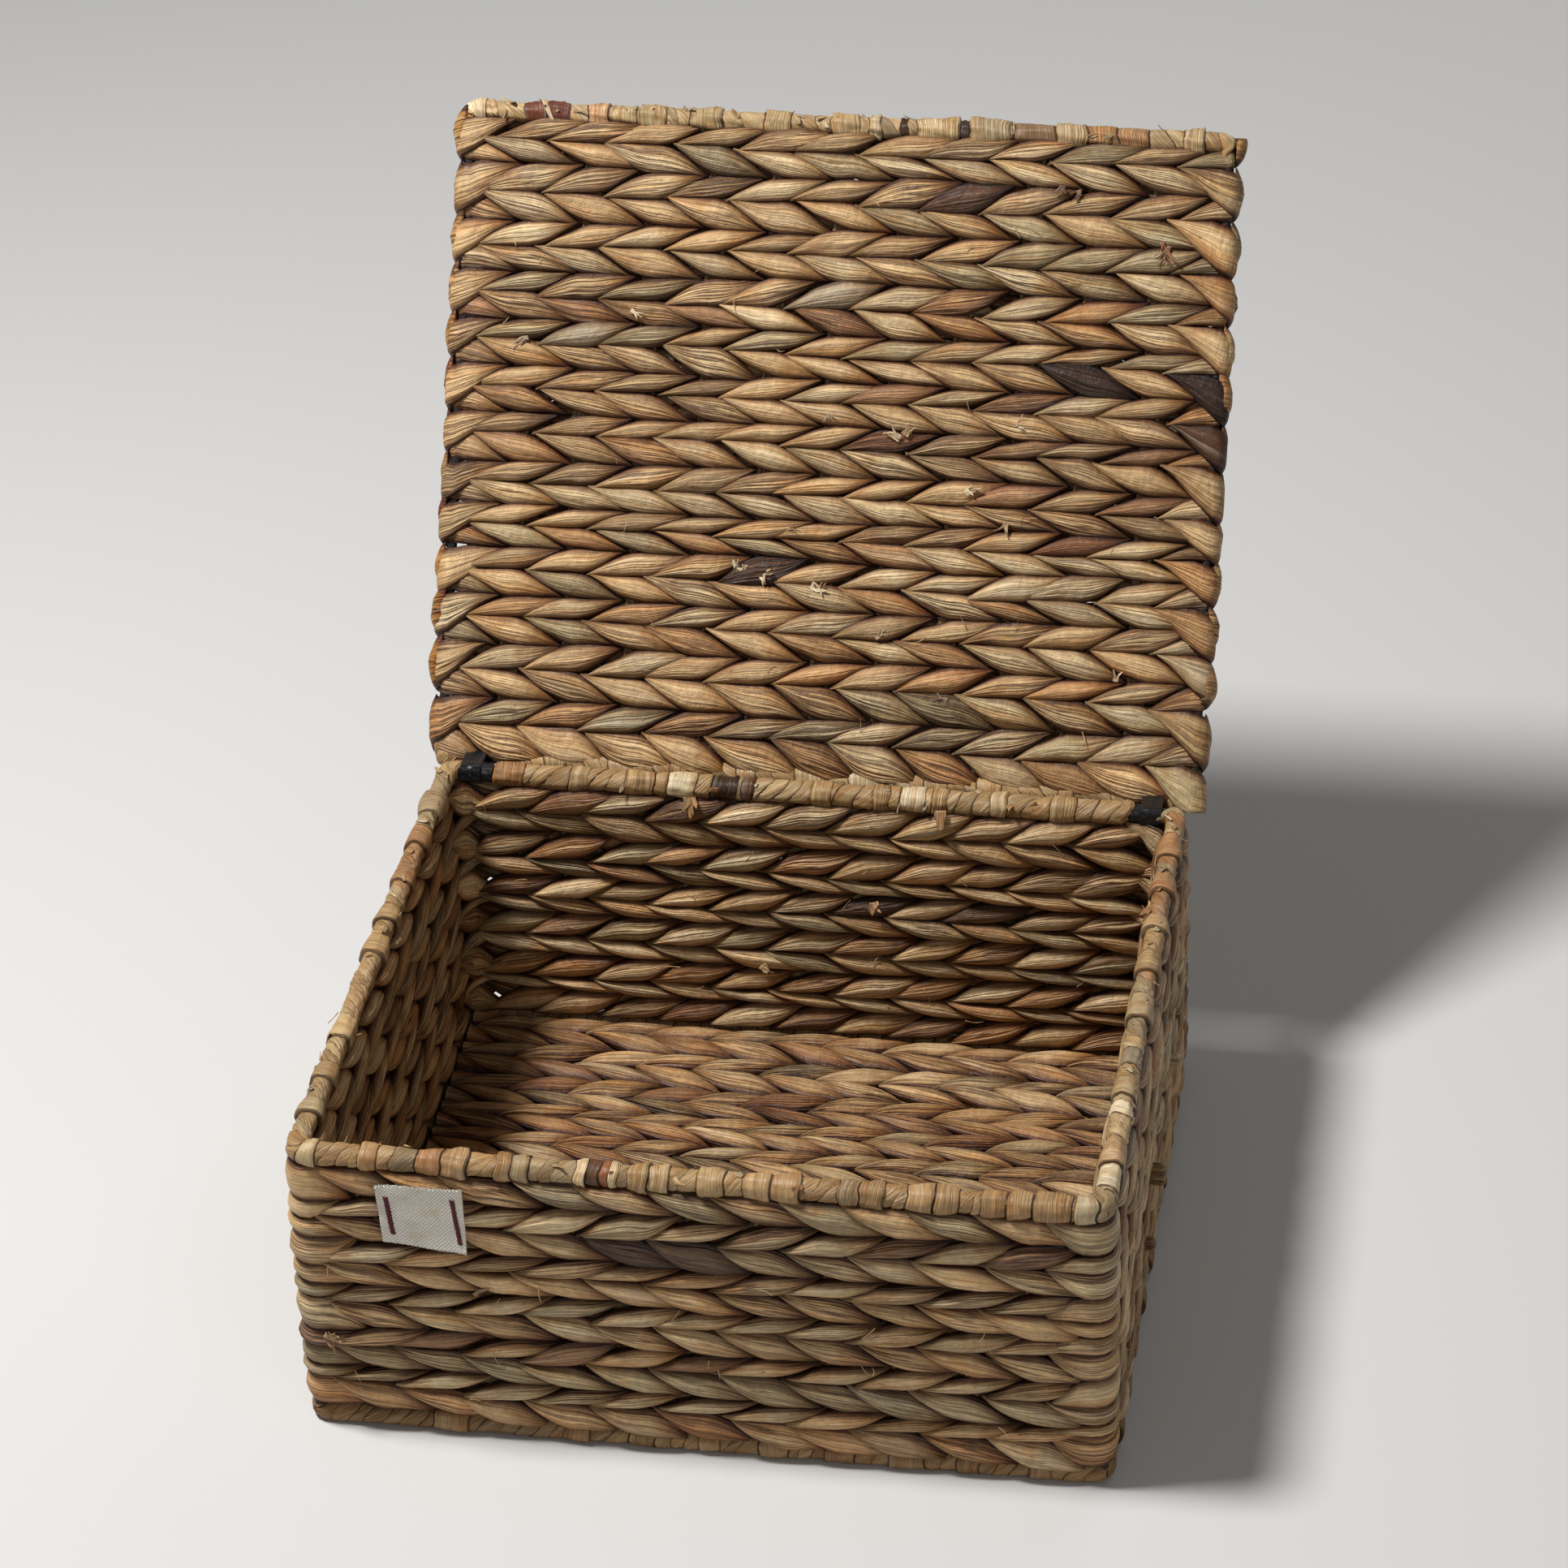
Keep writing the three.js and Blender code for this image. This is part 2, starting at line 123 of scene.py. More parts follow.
ORANGE = (168, 122, 78)
PALE = (226, 204, 166)
ASH = (172, 152, 122)


def pick_colours(colours, count, rng):
    """Some colours from a weighted list, as linear light."""
    table = np.array([linear(colour) for colour, _ in colours])
    weights = np.array([weight for _, weight in colours])
    return table[rng.choice(len(colours), count, p=weights / weights.sum())]


# Meshes

def add_object(name, data):
    made = bpy.data.objects.new(name, data)
    bpy.context.scene.collection.objects.link(made)
    return made


def make_mesh(name, points, loops, starts, smooth=True):
    """An object from points in millimetres, a flat list of face corners and where each face starts."""
    mesh = bpy.data.meshes.new(name)
    mesh.vertices.add(len(points))
    mesh.vertices.foreach_set("co", (np.asarray(points) * MM).astype(np.float32).ravel())
    mesh.loops.add(len(loops))
    mesh.loops.foreach_set("vertex_index", loops.astype(np.int32))
    mesh.polygons.add(len(starts))
    mesh.polygons.foreach_set("loop_start", starts.astype(np.int32))
    mesh.update(calc_edges=True)
    mesh.validate()
    mesh.polygons.foreach_set("use_smooth", np.full(len(mesh.polygons), smooth))
    return add_object(name, mesh)


def tubes(name, rings, flipped=None):
    """One object of many closed tubes. rings is (tube, ring, point round the ring, 3), and flipped says
    which tubes' points run round the other way."""
    count, long, around, _ = rings.shape
    corner = np.arange(count * long * around).reshape(count, long, around)
    after = np.roll(corner, -1, axis=2)
    quads = np.stack([corner[:, :-1], after[:, :-1], after[:, 1:], corner[:, 1:]], axis=-1)
    quads = quads.reshape(count, -1, 4)
    first = corner[:, 0, ::-1]
    last = corner[:, -1]
    if flipped is not None:
        quads = np.where(flipped[:, None, None], quads[:, :, ::-1], quads)
        first = np.where(flipped[:, None], first[:, ::-1], first)
        last = np.where(flipped[:, None], last[:, ::-1], last)
    loops = np.concatenate([quads.ravel(), first.ravel(), last.ravel()])
    starts = np.concatenate([np.arange(0, quads.size, 4), quads.size + np.arange(2 * count) * around])
    return make_mesh(name, rings.reshape(-1, 3), loops, starts)


def store(piece, name, values):
    """Keeps one number, vector or colour per point for the materials."""
    values = np.asarray(values, np.float32)
    kind, field = ("FLOAT_VECTOR", "vector") if values.shape[-1] == 3 else ("FLOAT", "value")
    attribute = piece.data.attributes.new(name, kind, "POINT")
    attribute.data.foreach_set(field, values.ravel())


def store_surface(piece, grid, grain, tint, exposed, pleated):
    """What the plant materials read: where a point is across and along the fibres, its colour, how open to
    the light it is, which the materials turn into painted shade, and how pleated. grid is the shape of the
    piece's points."""
    store(piece, "grain", np.stack([np.broadcast_to(part, grid) for part in grain], axis=-1))
    store(piece, "tint", np.broadcast_to(tint, grid + (3,)))
    store(piece, "exposed", np.broadcast_to(exposed, grid)[..., None])
    store(piece, "pleated", np.broadcast_to(pleated, grid)[..., None])


def dress(piece, material, body, slot, *nodes):
    """Gives a piece its material and its body, and hides the CAD nodes that it stands for. slot is not used.
    """
    piece.data.materials.append(material)
    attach(piece, body)
    if nodes:
        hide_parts(*nodes)
    return piece


# Places: each maps a flat panel, x across, v up and w towards its face, to the basket's frame

WALL_LENGTHS = np.array([2 * HALF_WIDTH, 2 * HALF_DEPTH, 2 * HALF_WIDTH, 2 * HALF_DEPTH])
WALL_STARTS = np.concatenate([[0], np.cumsum(WALL_LENGTHS)])
WALL_CORNERS = np.array([
    [-HALF_WIDTH, -HALF_DEPTH],
    [HALF_WIDTH, -HALF_DEPTH],
    [HALF_WIDTH, HALF_DEPTH],
    [-HALF_WIDTH, HALF_DEPTH],
])
WALL_ALONG = np.array([[1, 0], [0, 1], [-1, 0], [0, -1]], float)
WALL_OUT = np.array([[0, -1], [1, 0], [0, 1], [-1, 0]], float)
WALL_NAMES = ["front", "right", "back", "left"]
FRONTWARD = [0, -1, 0]


def on_walls(x, v, w, lift):
    """x runs round the box from its front left post, seen from outside. lift is added along the face's
    normal."""
    x, v, w, lift = np.broadcast_arrays(x, v, w, lift)
    around = np.mod(x, WALL_STARTS[-1])
    wall = np.clip(np.searchsorted(WALL_STARTS, around, side="right") - 1, 0, 3)
    local = around - WALL_STARTS[wall]
    ending = local > WALL_LENGTHS[wall] / 2
    corner = np.where(ending, (wall + 1) % 4, wall)
    past = np.where(ending, local - WALL_LENGTHS[wall], local)
    before = (corner + 3) % 4

    radius = np.where(w > 0, CORNER_RADIUS + w, CORNER_RADIUS - 2 * w)
    bend = radius - w
    turn = np.clip(0.25 * math.pi * (1 + past / bend), 0, 0.5 * math.pi)[..., None]
    out_before = WALL_OUT[before]
    out_after = WALL_OUT[corner]
    normal = np.cos(turn) * out_before + np.sin(turn) * out_after
    centre = WALL_CORNERS[corner] - bend[..., None] * (out_before + out_after)
    curved = centre + radius[..., None] * normal

    straight = WALL_CORNERS[corner] + WALL_ALONG[wall] * past[..., None] + WALL_OUT[wall] * w[..., None]
    is_curved = (np.abs(past) < bend)[..., None]
    flat = np.where(is_curved, curved, straight)
    normal = np.where(is_curved, normal, WALL_OUT[wall])
    flat = flat + normal * lift[..., None]
    return np.concatenate([flat, v[..., None]], axis=-1)


def on_floor(x, v, w, lift):
    x, v, z = np.broadcast_arrays(x, v, w + lift)
    x = np.clip(x, -FLOOR_HALF_WIDTH, FLOOR_HALF_WIDTH)
    return np.stack([x, v, np.maximum(z + FLOOR_MIDDLE, STANDS_AT)], axis=-1)


def pressed(value, limit, margin=1.2):
    """Values that come near a limit are held just short of it."""
    start = limit - margin
    return np.where(value > start, start + margin * np.tanh((value - start) / margin), value)


def lid_to_basket(local):
    """From the lid's own frame: x across, y from its back rod to its front rod, z towards the inside."""
    side = np.array([1.0, 0, 0])
    return LID_ORIGIN + local[..., :1] * side + local[..., 1:2] * LID_ALONG + local[..., 2:] * LID_OUT


def lid_point(x, y, z):
    return lid_to_basket(np.array([x, y, z]))


def on_lid(x, v, w, lift):
    """Past the side rods the strands turn round them."""
    x, v, w, lift = np.broadcast_arrays(x, v, w, lift)
    v = np.clip(v, -4.6, LID_LENGTH + 2.5)
    turn = np.maximum(np.abs(x) - HALF_LID, 0) / (REACH + 0.4)
    near_rim = np.clip(np.maximum(np.abs(x) - 163, v - 290) / 5, 0, 1)
    out = w + lift
    out = out + near_rim * (pressed(out, LID_PRESSED) - out)
    side = np.sign(x)
    facing = np.where(w >= 0, 1.0, -1.0)
    normal_x = side * facing * np.sin(turn)
    normal_z = np.cos(turn)
    across = np.clip(x, -HALF_LID, HALF_LID) + normal_x * out
    return lid_to_basket(np.stack([across, v, normal_z * out], axis=-1))


# Strands

RINGS = 17                 # along a strand
FACE_POINTS = 13           # across its face
BACK_POINTS = 3            # behind it


def stem_colours(count, rng):
    """Colours along one strand: a stem lasts for a few stakes, and then another one is laid in."""
    colours = np.empty((count, 3))
    start = 0
    while start < count:
        length = int(rng.integers(3, 9))
        stem = pick_colours(STRAND_COLOURS, 1, rng)[0] * rng.uniform(0.88, 1.1)
        colours[start:start + length] = stem
        start += length
    return colours * (1 + rng.normal(0, 0.08, (count, 1)))


def course_bounds(courses, stakes, pitch, rng, wider=0):
    """How far the lines between the courses stray at each stake. The panel's own edges stay where they are.
    Every second course from wider on is a little wider than the others."""
    height = 1 + np.clip(rng.normal(0, 0.11, courses), -0.2, 0.2)
    height += np.where(np.arange(courses) % 2 == wider, 0.11, -0.11)
    reached = np.concatenate([[0], np.cumsum(height)])
    drift = np.arange(courses + 1) - reached * courses / reached[-1]
    swing = rng.uniform(0, 6, (courses + 1, 1)) + rng.uniform(0.5, 1.2, (courses + 1, 1)) * np.arange(stakes)
    local = rng.normal(0, 0.05, (courses + 1, stakes)) + 0.06 * np.sin(swing)
    local[[0, -1]] = 0
    return (drift[:, None] + np.clip(local, -0.15, 0.15)) * pitch


def course_lobes(stakes, interval, height, pitch, slant, bounds, rng, closed=False):
    """The parts of one course's two strands that show, one over each stake on each face of the panel.
    bounds are the course's upper and lower line's stray at each stake."""
    count = len(stakes)
    above, below = bounds
    colours = [stem_colours(count, rng), stem_colours(count, rng)]
    offset = int(rng.integers(0, 2))
    lobes = []
    for facing in (1, -1):
        for i, stake in enumerate(stakes):
            strand = (i + offset + (facing < 0)) % 2
            end = 0 if closed else (i == count - 1) - (i == 0)
            lobes.append({
                "x": stake + rng.normal(0, 0.045) * interval,
                "v": height + 0.5 * (above[i] + below[i]),
                "half": 0.5 * (pitch + above[i] - below[i]),
                "interval": interval,
                "pitch": pitch,
                "slant": slant,
                "facing": facing,
                "end": end,
                "post": 0,
                "swell": float(np.clip(rng.normal(1, 0.04), 0.93, 1.1)),
                "colour": colours[strand][i],
            })
    return lobes


def mark_lobes(lobes, marks):
    """Gives the strand nearest each mark, (x, v, colour, swell), a colour of its own and a fuller shape."""
    facing = [lobe for lobe in lobes if lobe["facing"] > 0]
    for x, v, colour, swell in marks:
        nearest = min(facing, key=lambda lobe: 0.25 * abs(lobe["x"] - x) + abs(lobe["v"] - v))
        nearest["colour"] = linear(colour)
        nearest["swell"] = swell


class Chance:
    """Random numbers, one for each strand."""

    def __init__(self, rng, count):
        self.rng = rng
        self.shape = (count, 1, 1)

    def about(self, spread):
        return np.clip(self.rng.normal(0, 1, self.shape), -1.8, 1.8) * spread

    def between(self, low, high):
        return self.rng.uniform(low, high, self.shape)

    def wave(self, size, times, u):
        """A wave along the strand, of about that size, that starts anywhere."""
        return self.about(size) * np.sin(times * u + self.between(0, 6))


def strand_steps(is_front, is_post, chance):
    """The rings' places along each strand, from -1 to 1, and how far its left and right tips reach."""
    even = np.linspace(-1, 1, RINGS)[None, :, None]
    close_at_tips = 0.55 * even + 0.45 * np.sin(0.5 * math.pi * even)
    close_at_post = np.sign(even) * np.abs(even) ** 1.6
    front_tip = FRONT_TIP + chance.about(0.04)
    covered_tip = COVERED_TIP + chance.about(0.04)
    left = np.where(is_front, front_tip, covered_tip)
    right = np.where(is_front, covered_tip, front_tip)
    return np.where(is_post, close_at_post, close_at_tips), (left, right)


def edge_climb(u, tip, rise):
    """From -1 to 1: how a strand's edge climbs across its course, from its tip on."""
    return -1 + 2 * (1 - (1 - np.clip((u + tip) / rise, 0, 1)) ** 1.8)


def strand_edges(u, tips, half_height, fullness, shorter, is_front, chance):
    """The upper and lower edges of each strand, a little wavy where it is full."""
    rise_left = np.where(is_front, RISE, COVERED_RISE) * shorter + chance.about(0.05)
    rise_right = np.where(is_front, COVERED_RISE, RISE) * shorter + chance.about(0.05)
    upper = half_height * edge_climb(u, tips[0], rise_left)
    lower = -half_height * edge_climb(-u, tips[1], rise_right)
    upper = upper + fullness * (chance.wave(0.3, 5, u) + chance.wave(0.2, 11, u))
    lower = lower + fullness * chance.wave(0.3, 6, u)
    return upper, lower


def strand_pleats(across, u, pleated, chance):
    """The height of the lengthwise pleats of a dried stem, and of one fold."""
    pleats = 0.0
    for size, least, most, bend in ((0.3, 4, 7, 0.5), (0.22, 8, 12, 0.6)):
        phase = chance.between(least, most) * across + chance.between(0, 6) + chance.about(bend) * u
        pleats = pleats + pleated * size * np.cos(phase)
    fold_at = chance.about(0.4)
    return pleats + chance.between(0, 1.0) * np.minimum(0.35 - np.abs(across - fold_at), 0.2)


def build_lobes(name, lobes, place, rng):
    """A closed leaf-shaped tube for each lobe: pointed where it goes under, full where it goes over."""
    chance = Chance(rng, len(lobes))
    columns = (
        np.array([lobe[key] for lobe in lobes], float).reshape(chance.shape)
        for key in ("x", "v", "half", "interval", "pitch", "slant", "facing", "end", "post", "swell")
    )
    stake, height, half, interval, pitch, slant, facing, end, post, swell = columns
    is_front = facing > 0
    is_post = post > 0
    is_end = end != 0

    # Along: u is the share of the interval from the stake, to either side
    steps, tips = strand_steps(is_front, is_post, chance)
    u = steps * np.where(steps < 0, *tips)
    nearness = np.abs(steps)

    # Across: the face's points, then a few behind
    face = np.sin(0.5 * math.pi * np.linspace(-1, 1, FACE_POINTS) * 0.999)
    behind = 0.85 * np.linspace(1, -1, BACK_POINTS)
    across = np.concatenate([face, behind])[None, None, :]
    is_face = (np.arange(FACE_POINTS + BACK_POINTS) < FACE_POINTS)[None, None, :]

    half_height = half * swell * LAP * np.where(is_post & ~is_front, 1.12, 1.0)
    fullness = (1 - nearness ** 3) * np.where(is_post, 0.3, 1.0)
    shorter = np.where(is_post & is_front, 0.62, 1.0)
    upper, lower = strand_edges(u, tips, half_height, fullness, shorter, is_front, chance)

    # Depth: out over the stake, in between the stakes
    depth = REACH * (1 - DIP * np.abs(u) ** 2.2) - OVERLIE * facing * u
    depth = depth + fullness * (chance.about(0.35) + 3.0 * (swell - 1))
    x = stake + interval * u
    thick = STRAND_THICK * swell * (1 + chance.about(0.1)) * (1 - 0.7 * nearness ** 5)
    thick = thick * np.where(is_post, np.where(is_front, 0.75, 0.6), 1.0)
    depth = depth + np.where(is_post, 0.7, 0.0)

    # The ends of a course turn round the panel's side, one in two of them as a broad drooping lobe
    is_outer = is_end & (np.sign(u) == end)
    is_broad = end == -slant * facing
    past = -end * interval * u * np.where(is_broad, 1.0, 0.85)
    wrap_length = np.where(is_broad, np.where(is_front, 12.5, 9.0), 6.5) + chance.about(0.8)
    past = np.where(is_outer, -nearness * wrap_length, past)
    x = np.where(is_outer, stake - end * past, x)
    rounding = 0.5 + 0.5 * np.cos(math.pi * np.clip(past / 12, 0, 1))
    end_depth = np.where(is_broad, REACH + 0.7, REACH - 1.5)
    depth = np.where(is_outer, end_depth, np.where(is_end, depth + (end_depth - REACH) * rounding, depth))
    thick = np.where(is_end, thick * (1 + np.where(is_broad, 0.1, -0.45) * rounding), thick)
    upper = np.where(is_outer, half_height, upper)
    lower = np.where(is_outer, -half_height, lower)
    reach = np.clip((17 - past) / 25, 0, 1) ** 1.2
    droop = np.where(is_end & is_broad, (1.15 + chance.about(0.1)) * pitch * reach, 0)
    fall = np.where(is_end & is_broad, 0.4 * pitch * np.clip((5 - past) / 14, 0, 1) ** 1.5, 0)

    middle = 0.5 * (upper + lower)
    half_width = np.hypot(0.5 * (upper - lower), 0.8)
    v_low = slant * (middle - half_width)
    v_high = slant * (middle + half_width)
    v_bottom = np.minimum(v_low, v_high) - droop
    v_top = np.maximum(v_low, v_high) - fall
    v = 0.5 * (v_top + v_bottom) + 0.5 * (v_top - v_bottom) * slant * across

    # Thickness: full in the middle of the face, and flatter behind
    crown = np.maximum(1 - np.abs(across) ** 2, 0) ** 0.75
    pleated = chance.between(0.3, 1.0)
    face_lift = (thick + strand_pleats(across, u, pleated, chance)) * crown
    lift = np.where(is_face, face_lift, -0.8 * thick * (1 - 0.95 * nearness ** 1.3))

    # The other face is the same, turned over
    points = place(x, height + facing * v, facing * depth, facing * lift)
    piece = tubes(name, points, flipped=(slant < 0)[:, 0, 0])

    grain = [across * 5.8, u * interval, chance.between(0, 400)]
    colour = np.array([lobe["colour"] for lobe in lobes])[:, None, None, :]
    # Darker and browner towards the ends that go under the next strand: partly stain, partly painted shadow
    # of the strand that lies over them
    covered = np.where(steps * facing > 0, 1.0, 0.4)
    stain_and_shadow = (chance.between(0.6, 1.25) * covered * np.clip(nearness - 0.12, 0, 1) ** 1.2)[..., None]
    stain_and_shadow = np.minimum(stain_and_shadow * np.array([0.70, 0.97, 1.32]), 0.95)
    # Less open to the light towards the strand's edges and where it lies deep between the stakes: painted
    # shade there
    openness = (0.62 + 0.38 * np.clip(depth / REACH, 0, 1)) * crown ** 0.5
    store_surface(piece, points.shape[:3], grain, colour * (1 - stain_and_shadow), openness, pleated)
    return piece


def ribbons(name, lines, normals, widths, thickness, colours, rng, around=10, pleats=0.0):
    """Thin closed strips along lines, (strip, point, 3), each lying square to its normals. The normals,
    widths and colours may be one for all."""
    lines = np.asarray(lines, float)
    along = np.gradient(lines, axis=1)
    along /= np.linalg.norm(along, axis=-1, keepdims=True)
    side = np.cross(np.asarray(normals, float), along)
    side /= np.linalg.norm(side, axis=-1, keepdims=True)
    up = np.cross(along, side)
    turn = np.linspace(0, 2 * math.pi, around, endpoint=False)[None, None, :, None]
    half_width = 0.5 * np.asarray(widths, float)[..., None, None]
    ripple = 1 + pleats * np.cos(5 * turn)
    rings = lines[:, :, None, :] + np.cos(turn) * half_width * side[:, :, None, :]
    rings = rings + np.sin(turn) * ripple * 0.5 * thickness * up[:, :, None, :]
    piece = tubes(name, rings)
    length = np.cumsum(np.linalg.norm(np.diff(lines, axis=1, prepend=lines[:, :1]), axis=-1), axis=1)
    across = np.cos(turn)[..., 0] * half_width[..., 0]
    grain = [across, length[:, :, None], rng.uniform(0, 400, (len(lines), 1, 1))]
    store_surface(piece, rings.shape[:3], grain, np.reshape(colours, (-1, 1, 1, 3)), 1.0, 0.8)
    return piece


# Leaf wraps on rods

RING_POINTS = 36           # round a wrapped rod

# Across one turn of the leaf strip: where its rings are, as shares of its width, and how high it stands
TURN_STEPS = np.array([0.0, 0.06, 0.2, 0.4, 0.6, 0.78, 0.95])
SHINGLE = np.array([0.0, 0.9, 1.0, 0.9, 0.7, 0.45, 0.2])       # it rises over the turn before it
COLLAR = np.array([0.0, 0.92, 1.0, 0.95, 0.82, 0.62, 0.4])     # a band stands above both its neighbours
FLARED = np.array([0.1, 0.32, 0.5, 0.72, 0.9, 1.0, 0.95])      # a band that opens towards its end

# Its rounded ends: how far before the first ring, and the share of the full radius
END_ARC = np.array([-1.6, -1.3, -0.6])
END_SHARE = np.array([0.45, 0.8, 0.96])


def rounded_line(corners, radius, step=1.0):
    """A flat line through corners, with each corner rounded, as points a step apart."""
    corners = np.asarray(corners, float)
    line = [corners[0]]
    for before, corner, after in zip(corners[:-2], corners[1:-1], corners[2:]):
        to_before = (before - corner) / np.linalg.norm(before - corner)
        to_after = (after - corner) / np.linalg.norm(after - corner)
        for t in np.linspace(0, 1, 9):
            start = corner + to_before * radius
            finish = corner + to_after * radius
            line.append((1 - t) ** 2 * start + 2 * t * (1 - t) * corner + t ** 2 * finish)
    line.append(corners[-1])
    line = np.array(line)
    length = np.concatenate([[0], np.cumsum(np.linalg.norm(np.diff(line, axis=0), axis=1))])
    places = np.arange(0, length[-1], step)
    return np.stack([np.interp(places, length, line[:, i]) for i in range(2)], axis=1), length[-1]


# A stretch of a wrapped rod with a look of its own. start and end are in millimetres along the rod.
Band = namedtuple("Band", "start end colour lift crumple", defaults=(None, 0.6, 0.0))


def strip_edges(length, widths, bands, rng):
    """Where each turn of the leaf strip starts, with the bands' own starts and ends kept."""
    ends = {band.start: band.end for band in bands}
    edges = [0.0]
    while length - edges[-1] > 1:
        here = edges[-1]
        following = ends.get(here, here + rng.uniform(*widths))
        coming = [start for start in ends if here < start < following + 2]
        if here not in ends and coming:
            following = min(coming)
        edges.append(min(following, length))
    edges[-1] = length
    return np.array(edges)


def stake_bands(length, stakes, taken, rng, halves=(3.5, 8), lifts=(0.6, 1.35)):
    """Where the stakes' ends are looped over the rod, apart from the stretches that are taken."""
    bands = list(taken)
    for stake in stakes:
        half = rng.uniform(*halves)
        middle = stake + rng.normal(0, 2)
        start, end = middle - half, middle + half
        is_free = all(end < other.start - 1 or start > other.end + 1 for other in bands)
        if is_free and start > 1 and end < length - 1 and rng.uniform() < 0.85:
            bands.append(Band(start, end, None, rng.uniform(*lifts), rng.uniform(0, 0.35)))
    return sorted(bands, key=lambda band: band.start)


def strip_turns(edges, bands, rough, soiled, rng):
    """How high and how crumpled each turn of the strip is, whether it is a band, and its colour."""
    count = len(edges) - 1
    lift = rng.uniform(0.2, 0.7, count)
    crumple = rng.uniform(0, 1, count) ** 3 * rough
    is_band = np.zeros(count, bool)
    leaf = np.cumsum(rng.uniform(0, 1, count) < 0.3)
    colours = pick_colours(WRAP_COLOURS, leaf[-1] + 1, rng)[leaf] * rng.uniform(0.9, 1.06, (count, 1))
    # darkened makes the colours darker and browner
    colours = colours * soiled ** np.array([1.0, 1.4, 2.0])
    for band in bands:
        at = np.searchsorted(edges, band.start + 0.01) - 1
        is_band[at] = True
        lift[at] = band.lift
        crumple[at] = max(crumple[at], band.crumple)
        if band.colour is not None:
            colours[at] = linear(band.colour)
    return lift, crumple, is_band, colours


def sweep(line, length, arcs, turn, radii):
    """Points round a flat line, which is carried straight on past its ends."""
    step_at = np.arange(len(line)) * (length / (len(line) - 1))
    tangent = np.gradient(line, axis=0)
    tangent /= np.linalg.norm(tangent, axis=1, keepdims=True)
    held = np.clip(arcs, 0, length)
    spot = np.stack([np.interp(held, step_at, line[:, i]) for i in range(2)], axis=-1)
    ahead = np.stack([np.interp(held, step_at, tangent[:, i]) for i in range(2)], axis=-1)
    ahead /= np.linalg.norm(ahead, axis=-1, keepdims=True)
    spot = spot + ahead * (arcs - held)[..., None]
    side = np.stack([ahead[..., 1], -ahead[..., 0]], axis=-1)
    flat = spot + side * (np.cos(turn) * radii)[..., None]
    return np.concatenate([flat, (np.sin(turn) * radii)[..., None]], axis=-1)


def wrapped_rod(name, body, nodes, line, length, to_basket, radius, bands, rng, widths=(3, 7), lean=2.2,
                seen=0.8, pressed_at=None, soiled=1.0, flares=0.5, rough=0.45):
    """A leaf strip wound round a rod. line is flat, in the plane that to_basket turns into the basket's
    frame. seen is the angle round the rod at which the strip slants most."""
    edges = strip_edges(length, widths, bands, rng)
    count = len(edges) - 1
    lift, crumple, is_band, colours = strip_turns(edges, bands, rough, soiled, rng)

    # Along the rod: each ring's turn of the strip, place, height and how open to the light it is
    is_flared = (rng.uniform(0, 1, count) < flares)[:, None]
    profile = np.where(is_band[:, None], np.where(is_flared, FLARED, COLLAR), SHINGLE)
    strip = np.repeat(np.arange(count), len(TURN_STEPS))
    step = np.tile(TURN_STEPS, count)
    arc = edges[strip] + np.diff(edges)[strip] * step
    height = (lift[:, None] * profile).ravel()
    # Each turn's first rings are less open to the light, so the material paints shade along the seam where
    # it steps over the turn before
    opening = rng.uniform(0.4, 0.9, count)
    opening = np.where(is_band, 0.75 * opening, opening)
    opening[1:] = np.where(is_band[:-1], 0.85 * opening[1:], opening[1:])
    exposed = np.ones((count, len(TURN_STEPS)))
    exposed[:, 0] = opening
    exposed[:, 1] = 0.92

    # Rounded ends
    more = len(END_ARC)
    arc = np.concatenate([END_ARC, arc, length - END_ARC[::-1]])
    share = np.concatenate([END_SHARE, np.ones(len(height)), END_SHARE[::-1]])
    height = np.pad(height, more)
    exposed = np.pad(exposed.ravel(), more, constant_values=1.0)
    step = np.pad(step, more, constant_values=(0.0, 1.0))
    strip = np.pad(strip, more, mode="edge")

    # Each edge between turns leans and wavers
    turn = seen - math.pi + np.linspace(0, 2 * math.pi, RING_POINTS, endpoint=False)[None, :]
    drift = np.cumsum(rng.normal(0, 1.1, count + 1))[:, None]
    squarer = np.where(np.append(is_band, False) | np.append(False, is_band), 0.15, 1.0)[:, None]
    edge_lean = squarer * lean * (1 + 0.5 * np.sin(drift)) * np.sin(turn - seen + 0.5 * np.sin(0.7 * drift))
    waver = rng.uniform(0.1, 0.5, (count + 1, 1)) * np.sin(3 * turn + rng.uniform(0, 6, (count + 1, 1)))
    stray = edge_lean + waver
    arcs = arc[:, None] + stray[strip] * (1 - step)[:, None] + stray[strip + 1] * step[:, None]
    lumps = 0.2 * np.sin(2 * turn + arc[:, None] * 0.21) + 0.2 * np.sin(3 * turn - arc[:, None] * 0.13)
    phase = rng.uniform(0, 6, count)[strip][:, None]
    creases = np.sin(5 * turn + 1.1 * arcs + phase) * np.sin(0.9 * arcs - 2 * turn + phase)
    facets = 0.08 * np.cos(9 * turn + 3 * strip[:, None])
    radii = radius + height[:, None] + lumps + facets + crumple[strip][:, None] * creases
    radii = radii * share[:, None]
    points = to_basket(sweep(line, length, arcs, turn, radii))
    points[..., 2] = np.maximum(points[..., 2], STANDS_AT)
    if pressed_at is not None:
        points[..., 2] = pressed(points[..., 2], pressed_at)
    piece = tubes(name, points[None])

    slope = np.where(is_band, rng.uniform(-0.1, 0.12, count), rng.uniform(0.6, 1.1, count)) * np.sign(lean)
    fibre = arc[:, None] - slope[strip][:, None] * radius * (turn - seen)
    grain = [fibre, turn * radius, rng.uniform(0, 400, count)[strip][:, None]]
    pleated = rng.uniform(0.3, 1.0, count)[strip][:, None]
    store_surface(piece, points.shape[:2], grain, colours[strip][:, None], exposed[:, None], pleated)
    return dress(piece, wrap_leaf, body, "leaf_wrap", *nodes)


# Materials

